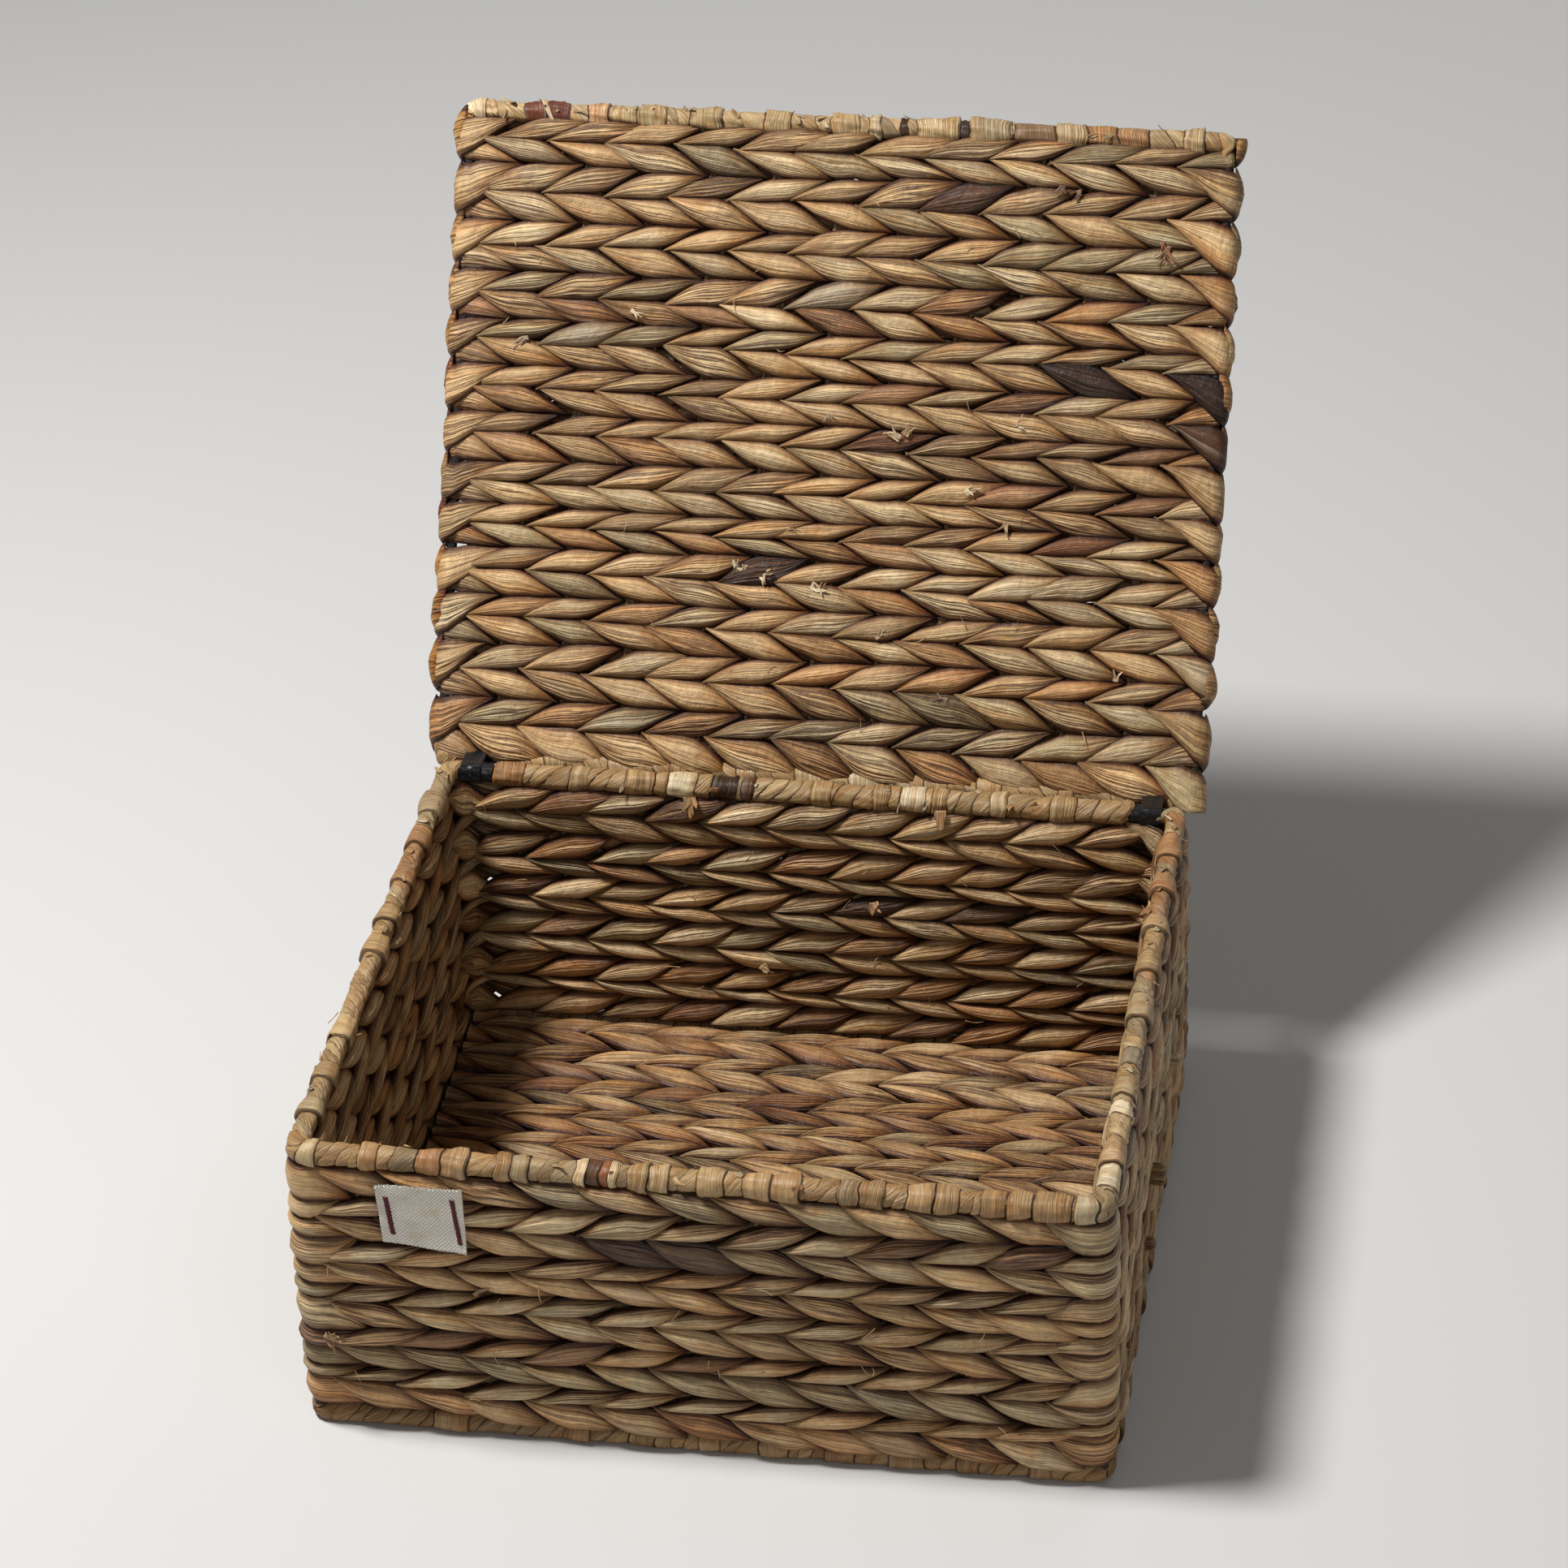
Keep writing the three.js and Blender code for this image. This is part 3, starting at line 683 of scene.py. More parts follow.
class Shader:
    """A material with a few helpers to add and join its nodes."""

    def __init__(self, name):
        self.material = bpy.data.materials.new(name)
        self.material.use_nodes = True
        self.tree = self.material.node_tree
        self.surface = next(n for n in self.tree.nodes if n.type == "BSDF_PRINCIPLED")

    def node(self, kind, inputs=(), **settings):
        made = self.tree.nodes.new("ShaderNode" + kind)
        for key, value in settings.items():
            setattr(made, key, value)
        for key, value in dict(inputs).items():
            self.put(made.inputs[key], value)
        return made

    def put(self, socket, value):
        if isinstance(value, bpy.types.NodeSocket):
            self.tree.links.new(value, socket)
        else:
            socket.default_value = value

    def attribute(self, name, output="Vector"):
        return self.node("Attribute", attribute_name=name).outputs[output]

    def math(self, operation, *values):
        return self.node("Math", dict(enumerate(values)), operation=operation).outputs[0]

    def times(self, a, b):
        return self.math("MULTIPLY", a, b)

    def noise(self, vector, scale, detail=2.0, roughness=0.5):
        """scale is one number, or one for each axis."""
        if isinstance(scale, tuple):
            vector = self.node("VectorMath", {0: vector, 1: scale}, operation="MULTIPLY").outputs[0]
            scale = 1.0
        inputs = {"Vector": vector, "Scale": scale, "Detail": detail, "Roughness": roughness}
        return self.node("TexNoise", inputs).outputs[0]

    def ramp(self, value, low, high, to_low=0.0, to_high=1.0):
        inputs = {"Value": value, "From Min": low, "From Max": high, "To Min": to_low, "To Max": to_high}
        return self.node("MapRange", inputs, interpolation_type="SMOOTHSTEP").outputs[0]

    def mix(self, factor, a, b, blend="MIX"):
        made = self.node("Mix", {0: factor, 6: a, 7: b}, data_type="RGBA", blend_type=blend)
        return made.outputs[2]

    def tinted(self, colour, by):
        return self.mix(1.0, colour, by, "MULTIPLY")

    def lit(self, colour, light):
        """A colour made darker or lighter by a number."""
        return self.tinted(colour, self.node("CombineColor", {0: light, 1: light, 2: light}).outputs[0])

    def bump(self, height, distance):
        inputs = {"Height": height, "Distance": distance * MM}
        self.put(self.surface.inputs["Normal"], self.node("Bump", inputs).outputs[0])

    def finish(self, colour, roughness, specular=0.5):
        self.put(self.surface.inputs["Base Color"], colour)
        self.put(self.surface.inputs["Roughness"], roughness)
        self.surface.inputs["Specular IOR Level"].default_value = specular
        return self.material


def plant_material(name, fibre_scale, crease_scale, crease_shade, contrast, bump_mm, gloss):
    """Dried stem or leaf: fine fibres and creases along it, blotches, specks, and painted shade in the
    creases and hollows.
    """
    shader = Shader(name)
    grain = shader.attribute("grain")
    exposed = shader.attribute("exposed", "Fac")
    pleated = shader.attribute("pleated", "Fac")

    fibres = shader.noise(grain, fibre_scale + (1.0,), 3.0, 0.65)
    pleats = shader.noise(grain, crease_scale + (1.0,))
    off_middle = shader.math("ABSOLUTE", shader.math("SUBTRACT", pleats, 0.5))
    fine = shader.noise(grain, tuple(2.1 * value for value in crease_scale) + (1.0,), 1.0)
    off_fine = shader.math("ABSOLUTE", shader.math("SUBTRACT", fine, 0.5))
    deep = shader.ramp(off_middle, 0.01, 0.055, 1.0, 0.0)
    shallow = shader.ramp(off_fine, 0.0, 0.05, 0.45, 0.0)
    crease = shader.times(shader.math("MAXIMUM", deep, shallow), pleated)
    ridge = shader.ramp(off_middle, 0.0, 0.2)
    streak = shader.noise(grain, (0.24, 0.012, 1.0))
    blotch = shader.noise(grain, (0.11, 0.055, 1.0))
    speck = shader.noise(grain, (0.9, 0.55, 1.0))
    crack = shader.noise(grain, (0.15, 1.6, 1.0))
    dent = shader.noise(grain, (0.42, 0.3, 1.0))

    light = shader.ramp(fibres, 0.3, 0.7, 1.0 - contrast, 1.0 + 0.65 * contrast)
    light = shader.times(light, shader.ramp(dent, 0.3, 0.7, 0.88, 1.08))
    colour = shader.lit(shader.attribute("tint"), light)
    warm = shader.tinted(colour, (0.80, 0.63, 0.46, 1.0))
    colour = shader.mix(shader.ramp(blotch, 0.5, 0.72, 0.0, 0.8), colour, warm)
    colour = shader.mix(shader.ramp(streak, 0.54, 0.68, 0.0, 0.75), colour, warm)
    pale = shader.mix(0.4, colour, (0.45, 0.42, 0.34, 1.0), "SCREEN")
    colour = shader.mix(shader.ramp(streak, 0.44, 0.3, 0.0, 0.6), colour, pale)
    # Painted shade: darker and browner where a point is less open to the light, and near black where it is
    # least open
    shaded = shader.tinted(colour, (0.62, 0.46, 0.33, 1.0))
    colour = shader.mix(shader.ramp(exposed, 0.62, 1.0, 0.75, 0.0), colour, shaded)
    painted_shade = shader.tinted(colour, (0.13, 0.065, 0.032, 1.0))
    brown = shader.tinted(colour, (0.42, 0.29, 0.20, 1.0))
    colour = shader.mix(shader.ramp(speck, 0.67, 0.75, 0.0, 0.7), colour, brown)
    # Painted shade in the creases, and near black in the hollows between strands and at the wraps' seams
    colour = shader.mix(shader.times(crease, crease_shade), colour, painted_shade)
    colour = shader.mix(shader.ramp(exposed, 0.42, 0.92, 1.0, 0.0), colour, painted_shade)

    height = shader.math("SUBTRACT", shader.times(fibres, 0.35), shader.times(crease, 0.45))
    height = shader.math("ADD", height, shader.times(shader.times(ridge, pleated), 0.9))
    height = shader.math("SUBTRACT", height, shader.ramp(crack, 0.70, 0.76, 0.0, 0.3))
    shader.bump(shader.math("ADD", height, dent), bump_mm)
    return shader.finish(colour, shader.ramp(fibres, 0.3, 0.7, gloss + 0.18, gloss), 0.45)


def black_material(name, colour, gloss, dust):
    """Black plastic or lacquered steel, with faint scuffs and dust."""
    shader = Shader(name)
    place = shader.node("TexCoord").outputs["Object"]
    mottle = shader.noise(place, 350.0, 3.0)
    scuff = shader.noise(place, (260.0, 900.0, 900.0))
    grit = shader.noise(place, 1400.0, 1.0)
    worn = shader.mix(shader.ramp(scuff, 0.62, 0.74, 0.0, 0.4), colour, (0.07, 0.066, 0.062, 1.0))
    dusty = shader.mix(shader.ramp(grit, 0.66, 0.74, 0.0, dust), worn, (0.34, 0.30, 0.25, 1.0))
    shader.bump(shader.math("ADD", mottle, shader.times(grit, 0.5)), 0.12)
    return shader.finish(dusty, shader.ramp(mottle, 0.35, 0.65, gloss, gloss + 0.16), 0.4)


def canvas_material():
    """Plain-weave cotton: each thread crosses over and under the next."""
    shader = Shader("label_canvas")
    grain = shader.attribute("grain")
    place = shader.node("SeparateXYZ", {0: grain}).outputs
    across, down = (shader.math("SINE", shader.times(place[i], 2 * math.pi / CANVAS_PITCH)) for i in (0, 1))
    weave = shader.times(across, down)
    thread = shader.noise(grain, (1.6, 1.1, 1.0), 3.0)
    soil = shader.noise(grain, (0.09, 0.12, 1.0))
    light = shader.times(shader.ramp(weave, -1.0, 0.6, 0.6, 1.06), shader.ramp(thread, 0.3, 0.7, 0.86, 1.06))
    colour = shader.lit((0.78, 0.73, 0.64, 1.0), light)
    soiled = shader.tinted(colour, (0.86, 0.80, 0.70, 1.0))
    shader.bump(shader.math("ADD", weave, shader.times(thread, 0.8)), 0.14)
    return shader.finish(shader.mix(shader.ramp(soil, 0.45, 0.7, 0.0, 0.8), colour, soiled), 0.92, 0.2)


def thread_material(name, colour):
    """Twisted sewing thread."""
    shader = Shader(name)
    twist = shader.noise(shader.attribute("grain"), (6.0, 2.2, 1.0))
    shader.bump(twist, 0.12)
    return shader.finish(shader.lit(colour, shader.ramp(twist, 0.3, 0.7, 0.6, 1.2)), 0.62, 0.35)


strand_leaf = plant_material("water_hyacinth_strand", (2.2, 0.05), (0.55, 0.014), 0.95, 0.26, 0.8, 0.44)
wrap_leaf = plant_material("leaf_wrap", (2.4, 0.08), (0.7, 0.02), 0.5, 0.17, 0.35, 0.38)
black_plastic = black_material("black_plastic", (0.009, 0.009, 0.010, 1.0), 0.22, 0.15)
black_steel = black_material("black_steel", (0.010, 0.009, 0.009, 1.0), 0.5, 0.2)
canvas = canvas_material()
maroon_thread = thread_material("maroon_thread", (0.115, 0.018, 0.030, 1.0))
cotton_thread = thread_material("cotton_thread", (0.60, 0.57, 0.51, 1.0))


# The woven panels

def shares(low, high, count):
    """The middles of some equal parts from high down to low, and the size of a part."""
    pitch = (high - low) / count
    return high - pitch * (np.arange(count) + 0.5), pitch


def stakes_across(half_width):
    """Where the stakes stand across the floor or the lid, and the interval between them."""
    interval = 2 * half_width / INTERVALS_WIDE
    return [interval * i - half_width for i in range(INTERVALS_WIDE + 1)], interval


def stakes_along(wall):
    """Where a wall's stakes stand, from the corner post on, and the interval between them."""
    count = INTERVALS_WIDE if wall % 2 == 0 else INTERVALS_DEEP
    interval = WALL_LENGTHS[wall] / count
    return [WALL_STARTS[wall] + interval * i for i in range(count)], interval


# Strands that stand out: x, v, colour and how much fuller they are. x runs from the lid's middle, or
# from the front wall's left post.
LID_MARKS = [
    (125, 192, NEAR_BLACK, 1.08),
    (175, 192, NEAR_BLACK, 1.0),
    (176, 169, DARK_BROWN, 1.0),
    (67, 278, DARK_BROWN, 1.1),
    (125, 117, RED_BROWN, 1.08),
    (34, 162, RED_BROWN, 1.0),
    (-34, 94, DARK_BROWN, 1.12),
    (-128, 202, ASH, 1.22),
    (0, 231, ASH, 1.2),
    (18, 111, (196, 152, 104), 1.2),
    (-140, 266, (214, 184, 140), 1.1),
]
FRONT_MARKS = [
    (133, 104, (98, 70, 48), 1.1),
    (176, 106, (112, 86, 60), 1.05),
]


def wall_bounds(stakes, pitch, rng):
    """How the lines between the walls' courses stray. They stray most at the posts, and the front's sag
    from its third stake on, the lower ones most."""
    bounds = course_bounds(WALL_COURSES, len(stakes), pitch, rng)
    posts = np.flatnonzero(np.isin(stakes, WALL_STARTS))
    bounds[1:-1, posts] += np.clip(rng.normal(0, 0.13, (WALL_COURSES - 1, 4)), -0.25, 0.25) * pitch
    bounds[0] += 2.0
    bounds[1, 0] -= 0.35 * pitch
    bounds[2, 0] -= 0.1 * pitch
    sag = 4.5 * (np.arange(WALL_COURSES + 1) / WALL_COURSES) ** 2
    bounds[:, 3:INTERVALS_WIDE] -= sag[:, None]
    return bounds


def is_under_label(x, height):
    """Whether a strand of the front wall lies behind the label, which presses it flatter."""
    return abs(x - HALF_WIDTH - LABEL_X) < 32 and abs(height - LABEL_TOP + 16) < 18


def weave_walls():
    rng = np.random.default_rng(11)
    stakes = []
    intervals = []
    for wall in range(4):
        mine, interval = stakes_along(wall)
        stakes += mine
        intervals += [interval] * len(mine)
    heights, pitch = shares(WALL_BOTTOM, WALL_TOP, WALL_COURSES)
    bounds = wall_bounds(stakes, pitch, rng)
    lobes = []
    for row, height in enumerate(heights):
        slant = BACKSLASH if row % 2 == 0 else SLASH
        course = course_lobes(stakes, 1.0, height, pitch, slant, bounds[row:row + 2], rng, closed=True)
        for i, lobe in enumerate(course):       # the walls' intervals differ
            stake, interval = stakes[i % len(stakes)], intervals[i % len(stakes)]
            lobe["interval"] = interval
            lobe["x"] = stake + rng.normal(0, 0.04) * interval
            lobe["wall"] = int(np.searchsorted(WALL_STARTS, stake, side="right") - 1)
            lobe["post"] = int(stake in WALL_STARTS)
            if lobe["wall"] == 2 and not lobe["post"]:
                lobe["slant"] = -slant
            if lobe["wall"] == 0 and is_under_label(lobe["x"], height):
                lobe["swell"] = 0.9
        lobes += course
    mark_lobes(lobes, FRONT_MARKS)
    for wall, name in enumerate(WALL_NAMES):
        mine = [lobe for lobe in lobes if lobe["wall"] == wall]
        piece = build_lobes(f"wall_strands_{name}", mine, on_walls, rng)
        dress(piece, strand_leaf, "basket", "strands", f"wall_weave_{name}")


def weave_flat(panel, sides, body, place, stakes, interval, low, high, courses, rng,
               strays=(), marks=(), shade=(1.0, 1.0, 1.0), closed=False):
    """The floor or the lid. strays move the lines between courses, and shade tints all its strands; the
    floor's are darker and browner, partly their own colour and partly painted shade.
    """
    rows, pitch = shares(low, high, courses)
    bounds = course_bounds(courses, len(stakes), pitch, rng, wider=1)
    for line, stray in strays:
        bounds[line] += stray
    lobes = []
    for row, along in enumerate(rows):
        slant = SLASH if row % 2 == 0 else BACKSLASH
        lobes += course_lobes(stakes, interval, along, pitch, slant, bounds[row:row + 2], rng, closed)
    mark_lobes(lobes, marks)
    for lobe in lobes:
        lobe["colour"] = lobe["colour"] * np.array(shade)
    for side, facing, nodes in zip(sides, (1, -1), ([f"{panel}_weave"], [])):
        mine = [lobe for lobe in lobes if lobe["facing"] == facing]
        dress(build_lobes(f"{panel}_strands_{side}", mine, place, rng), strand_leaf, body, "strands", *nodes)


def weave_floor():
    # The floor's strands are darker and browner: partly their own colour, partly painted shade inside the
    # basket
    weave_flat("floor", ("upper", "lower"), "basket", on_floor, *stakes_across(HALF_WIDTH),
               -FLOOR_HALF_DEPTH, FLOOR_HALF_DEPTH, FLOOR_COURSES, np.random.default_rng(12),
               shade=(0.84, 0.76, 0.68), closed=True)


def weave_lid():
    strays = ((0, 3.5), (1, 5.0), (2, 3.0), (3, 1.2), (-3, -1.0), (-2, -3.0), (-1, -7.8))
    weave_flat("lid", ("inner", "outer"), "lid", on_lid, *stakes_across(HALF_LID), LID_EDGE,
               LID_LENGTH - LID_EDGE, LID_COURSES, np.random.default_rng(13), strays, LID_MARKS)


def stake_strips(name, place, stakes, low, high, body, rng, *nodes):
    """Each stake is a flat bundle of narrow strips."""
    heights = np.linspace(low, high, 24)
    strips = []
    for stake in stakes:
        for offset in (-3.3, -1.1, 1.1, 3.3):
            x = stake + offset + 0.25 * np.sin(heights * 0.11 + rng.uniform(0, 6))
            line = place(x, heights, 0.0, 0.3 * np.sin(heights * 0.2 + rng.uniform(0, 6)))
            normal = place(x, heights, 0.0, 1.0) - place(x, heights, 0.0, 0.0)
            # Their colour is darkened to 0.8: painted shade, as they show only in the gaps between the
            # strands
            strips.append((line, normal, pick_colours(WRAP_COLOURS, 1, rng)[0] * 0.8))
    lines, normals, colours = zip(*strips)
    piece = ribbons(name, lines, normals, 2.4, 1.3, colours, rng, around=8)
    dress(piece, wrap_leaf, body, "stakes", *nodes)


def set_stakes():
    rng = np.random.default_rng(14)
    for wall, name in enumerate(WALL_NAMES):
        stake_strips(f"stake_strips_{name}", on_walls, stakes_along(wall)[0][1:], BASE_HEIGHT + 2,
                     RIM_HEIGHT - 2, "basket", rng, f"wall_stakes_{name}")
    stake_strips("stake_strips_floor", on_floor, stakes_across(HALF_WIDTH)[0][1:-1], -FLOOR_HALF_DEPTH,
                 FLOOR_HALF_DEPTH, "basket", rng, "floor_stakes")
    stake_strips("stake_strips_lid", on_lid, stakes_across(HALF_LID)[0][1:-1], 2.0, LID_LENGTH - 2,
                 "lid", rng, "lid_stakes")


# The leaf-wrapped rods

def box_plane(height):
    return lambda local: local + np.array([0, 0, height])


# The stretches that stand out on the rim and on the lid's front rod: where each starts and ends, its
# colour if not the strip's own, how high it stands and how crumpled it is
RIM_BANDS = {
    "front": [
        (10, 17, (190, 164, 122), 1.3, 0.3),
        (36, 44, None, 1.6),
        (61, 72, ORANGE, 1.1),
        (72, 84, (178, 142, 98), 2.2, 0.6),
        (96, 103, None, 1.8),
        (103, 111, None, 1.4),
        (131, 136, PALE, 1.3),
        (136, 142, DARK_BROWN, 1.0),
        (142, 146, (150, 98, 60), 0.9),
        (146, 150, PALE, 1.4),
        (154, 163, None, 1.9),
        (163, 172, None, 1.4),
        (184, 196, None, 1.8),
        (204, 216, None, 1.5),
        (216, 229, None, 1.9),
        (245, 254, (156, 128, 92), 1.0),
        (254, 265, None, 1.7),
        (274, 286, None, 1.7),
        (286, 297, None, 2.0),
        (306, 317, None, 1.3),
        (317, 328, None, 1.7),
        (328, 345, None, 2.1),
        (346, 355, (186, 168, 134), 1.5),
    ],
    "right": [
        (196, 209, (150, 132, 106), 0.5),
        (236, 246, PALE, 0.8),
        (262, 281, (196, 160, 116), 1.3),
        (281, 298, PALE, 0.7),
    ],
    "back": [
        (96, 108, PALE, 1.0, 0.3),
        (178, 184, DARK_BROWN, 0.7, 0.2),
        (186, 199, NEAR_BLACK, 0.4),
        (206, 220, (206, 186, 148), 1.0, 0.45),
        (290, 303, ORANGE, 0.4),
    ],
}
LID_BANDS = [
    (4, 12, PALE, 1.2, 0.5),
    (31, 42, REDDISH, 1.3),
    (42, 53, (116, 66, 52), 1.6),
    (62, 72, (188, 146, 104), 1.2, 0.8),
    (72, 86, (180, 152, 108), 0.8, 0.8),
    (87, 100, (182, 160, 118), 1.9, 0.5),
    (111, 127, (176, 152, 110), 1.9, 0.9),
    (147, 160, (184, 156, 110), 1.7, 0.4),
    (179, 193, (180, 152, 108), 1.6, 0.9),
    (197, 203, (176, 148, 104), 1.4, 1.2),
    (212, 216, NEAR_BLACK, 0.4),
    (220, 241, (196, 168, 122), 1.8, 0.9),
    (241, 245, NEAR_BLACK, 0.4),
    (245, 265, (172, 148, 110), 2.4, 0.5),
    (266, 286, (134, 104, 74), 0.5, 0.3),
    (286, 301, (184, 154, 112), 1.6, 0.6),
    (301, 315, (178, 132, 84), 0.6, 0.5),
    (315, 330, (172, 128, 84), 0.6, 0.6),
    (346, 356, None, 1.6, 0.6),
]


def u_line(half_width, y, turn_in, elbow):
    """A flat line along a front rod, with its two ends turned in round the corners."""
    corners = [[-half_width, y + turn_in], [-half_width, y], [half_width, y], [half_width, y + turn_in]]
    return rounded_line(corners, elbow)


def wrap_ring(ring, height, rng):
    """The wraps of the rim's four rods, or the base's."""
    elbow = 4.5
    turn_in = 9.0
    wide = 2 * HALF_WIDTH / INTERVALS_WIDE
    deep = 2 * HALF_DEPTH / INTERVALS_DEEP
    is_rim = ring == "rim"
    # The base's wraps are darker and browner, partly dirt and partly painted shade near the floor; the front
    # rim's are a little darker
    soiled = 1.0 if is_rim else 0.72

    def wrap(side, line, length, radius, stakes, looped, **look):
        taken = [Band(*row) for row in RIM_BANDS.get(side, []) if is_rim]
        bands = stake_bands(length, stakes, taken, rng, *looped)
        wrapped_rod(f"{ring}_leaf_{side}", "basket", [f"{ring}_wrap_{side}"], line, length,
                    box_plane(height), radius, bands, rng, pressed_at=height + RIM_PRESSED, **look)

    stakes = [] if is_rim else [turn_in + wide * i for i in range(1, INTERVALS_WIDE)]
    wrap("front", *u_line(HALF_WIDTH, -HALF_DEPTH, turn_in, elbow), 4.8, stakes, ((4.5, 8.5), (0.8, 1.4)),
         widths=(4.5, 9), lean=3.0, seen=0.6, soiled=0.9 if is_rim else soiled)
    for side, name in ((-1, "left"), (1, "right")):
        start = CLIP_END + 1.5 if is_rim else HALF_WIDTH - turn_in
        corners = [[start, HALF_DEPTH], [HALF_WIDTH, HALF_DEPTH], [HALF_WIDTH, -HALF_DEPTH + 5]]
        line, length = rounded_line(np.array(corners) * [side, 1], elbow)
        stakes = [7 + deep * i for i in range(1, INTERVALS_DEEP)]
        wrap(name, line, length, 4.3, stakes, ((5.5, 10), (1.5, 2.5)),
             widths=(3, 6.5), lean=3.0, seen=1.4, soiled=soiled, flares=0.9)
    half = CLIP_START if is_rim else HALF_WIDTH - 5
    line, length = rounded_line([[half, HALF_DEPTH], [-half, HALF_DEPTH]], elbow)
    stakes = [wide * i for i in range(1, int(2 * half / wide))]
    wrap("back", line, length, 5.2, stakes, (), widths=(6, 11), lean=4.2, seen=2.5, soiled=soiled)


def wrap_box_rods():
    rng = np.random.default_rng(15)
    wrap_ring("rim", RIM_HEIGHT, rng)
    wrap_ring("base", BASE_HEIGHT, rng)


def wrap_lid_rods():
    rng = np.random.default_rng(16)
    elbow = 4.0
    line, length = u_line(HALF_LID, LID_LENGTH, -6.0, elbow)
    wrapped_rod("lid_leaf_front", "lid", ["lid_wrap_front"], line, length, lid_to_basket, 4.6,
                [Band(*row) for row in LID_BANDS], rng, widths=(5, 10), lean=-3.2, seen=1.6, rough=1.3)
    wide = 2 * HALF_LID / INTERVALS_WIDE
    line, length = rounded_line([[-CLIP_START, 0], [CLIP_START, 0]], elbow)
    stakes = [wide * i for i in range(1, int(2 * CLIP_START / wide))]
    bands = stake_bands(length, stakes, [], rng)
    wrapped_rod("lid_leaf_back", "lid", ["lid_wrap_back"], line, length, lid_to_basket, 5.0, bands, rng,
                widths=(6, 11), lean=-3.0, seen=1.6, rough=0.3)
    for side, name in ((-1, "left"), (1, "right")):
        line, length = rounded_line([[side * (CLIP_END + 1.5), 0], [side * (HALF_LID + 1.5), 0]], elbow)
        wrapped_rod(f"lid_leaf_back_{name}", "lid", [], line, length, lid_to_basket, 4.2, [], rng, lean=0.4)


def paint_rods():
    for name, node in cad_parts.items():
        if "_rod_" in name or name.startswith("corner_post"):
            for slot in node.material_slots:
                slot.material = black_steel


def make_clips():
    """The CAD clips with their edges rounded off a little."""
    for side in ("left", "right"):
        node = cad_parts[f"hinge_clip_{side}"]
        mesh = bmesh.new()
        mesh.from_mesh(node.data)
        bmesh.ops.remove_doubles(mesh, verts=mesh.verts, dist=0.01 * MM)
        bmesh.ops.dissolve_limit(mesh, angle_limit=math.radians(2), verts=mesh.verts, edges=mesh.edges)
        sharp = [edge for edge in mesh.edges if len(edge.link_faces) == 2 and edge.calc_face_angle() > 0.6]
        bmesh.ops.bevel(mesh, geom=sharp, offset=0.45 * MM, segments=3, affect="EDGES", clamp_overlap=True)
        bmesh.ops.triangulate(mesh, faces=mesh.faces)
        data = bpy.data.meshes.new(f"clip_{side}")
        mesh.to_mesh(data)
        mesh.free()
        clip = add_object(f"clip_{side}", data)
        dress(clip, black_plastic, "lid", "clip_plastic", f"hinge_clip_{side}")


# The sewn label

# Its stitches: how far across each starts, how far it leans, and where down the label it starts and ends
LABEL_BARS = [
    ("left", 0.105, 0.035, 0.2, 0.85),
    ("right", 0.875, 0.055, 0.17, 0.88),
]


def label_point(u, v, out):
    """u runs across the label, v down it, from 0 to 1. out is measured from its back."""
    height = LABEL_HEIGHT - 1 + 2.8 * u
    x = LABEL_X - 0.5 * LABEL_WIDTH + LABEL_WIDTH * u + 1.3 * v * (1 - 0.6 * u)
    z = LABEL_TOP + 0.25 * np.sin(7 * u) - height * v
    curl = 1.7 * np.clip(1 - u / 0.12, 0, 1) ** 2 * np.clip(1 - v / 0.5, 0, 1)
    curl = curl + 1.3 * np.clip((u - 0.8) / 0.2, 0, 1) ** 2 * np.clip((v - 0.6) / 0.4, 0, 1) ** 1.5
    bow = 0.28 * np.sin(5.2 * u + 1.0) * np.sin(3.4 * v + 0.4) + 0.16 * np.sin(11 * v + 3 * u)
    y = -(LABEL_BACK + 0.3 + curl + bow + out)
    return np.stack(np.broadcast_arrays(x, y, z), axis=-1)


def label_cloth(rng):
    """The sheet, with a slightly uneven upper edge."""
    columns, rows = 64, 52
    u, v = np.meshgrid(np.linspace(0, 1, columns), np.linspace(0, 1, rows))
    front = label_point(u, v, 0.75)
    back = label_point(u, v, 0.0)
    ragged = rng.normal(0, 0.12, columns)
    front[0, :, 2] += ragged
    back[0, :, 2] += ragged
    points = np.concatenate([front.reshape(-1, 3), back.reshape(-1, 3)])
    spot = np.arange(rows * columns).reshape(rows, columns)
    faces = np.stack([spot[:-1, :-1], spot[1:, :-1], spot[1:, 1:], spot[:-1, 1:]], axis=-1).reshape(-1, 4)
    under = faces[:, ::-1] + rows * columns
    edge = np.concatenate([spot[0, :-1], spot[:-1, -1], spot[-1, :0:-1], spot[:0:-1, 0]])
    following = np.roll(edge, -1)
    sides = np.stack([edge, following, following + rows * columns, edge + rows * columns], axis=-1)
    loops = np.concatenate([faces, under, sides]).ravel()
    label = make_mesh("label_sheet", points, loops, np.arange(len(loops) // 4) * 4)
    grain = np.stack([LABEL_WIDTH * u, LABEL_HEIGHT * v, 0 * u], axis=-1).reshape(-1, 3)
    store(label, "grain", np.concatenate([grain, grain]))
    return dress(label, canvas, "basket", "label_canvas", "label")


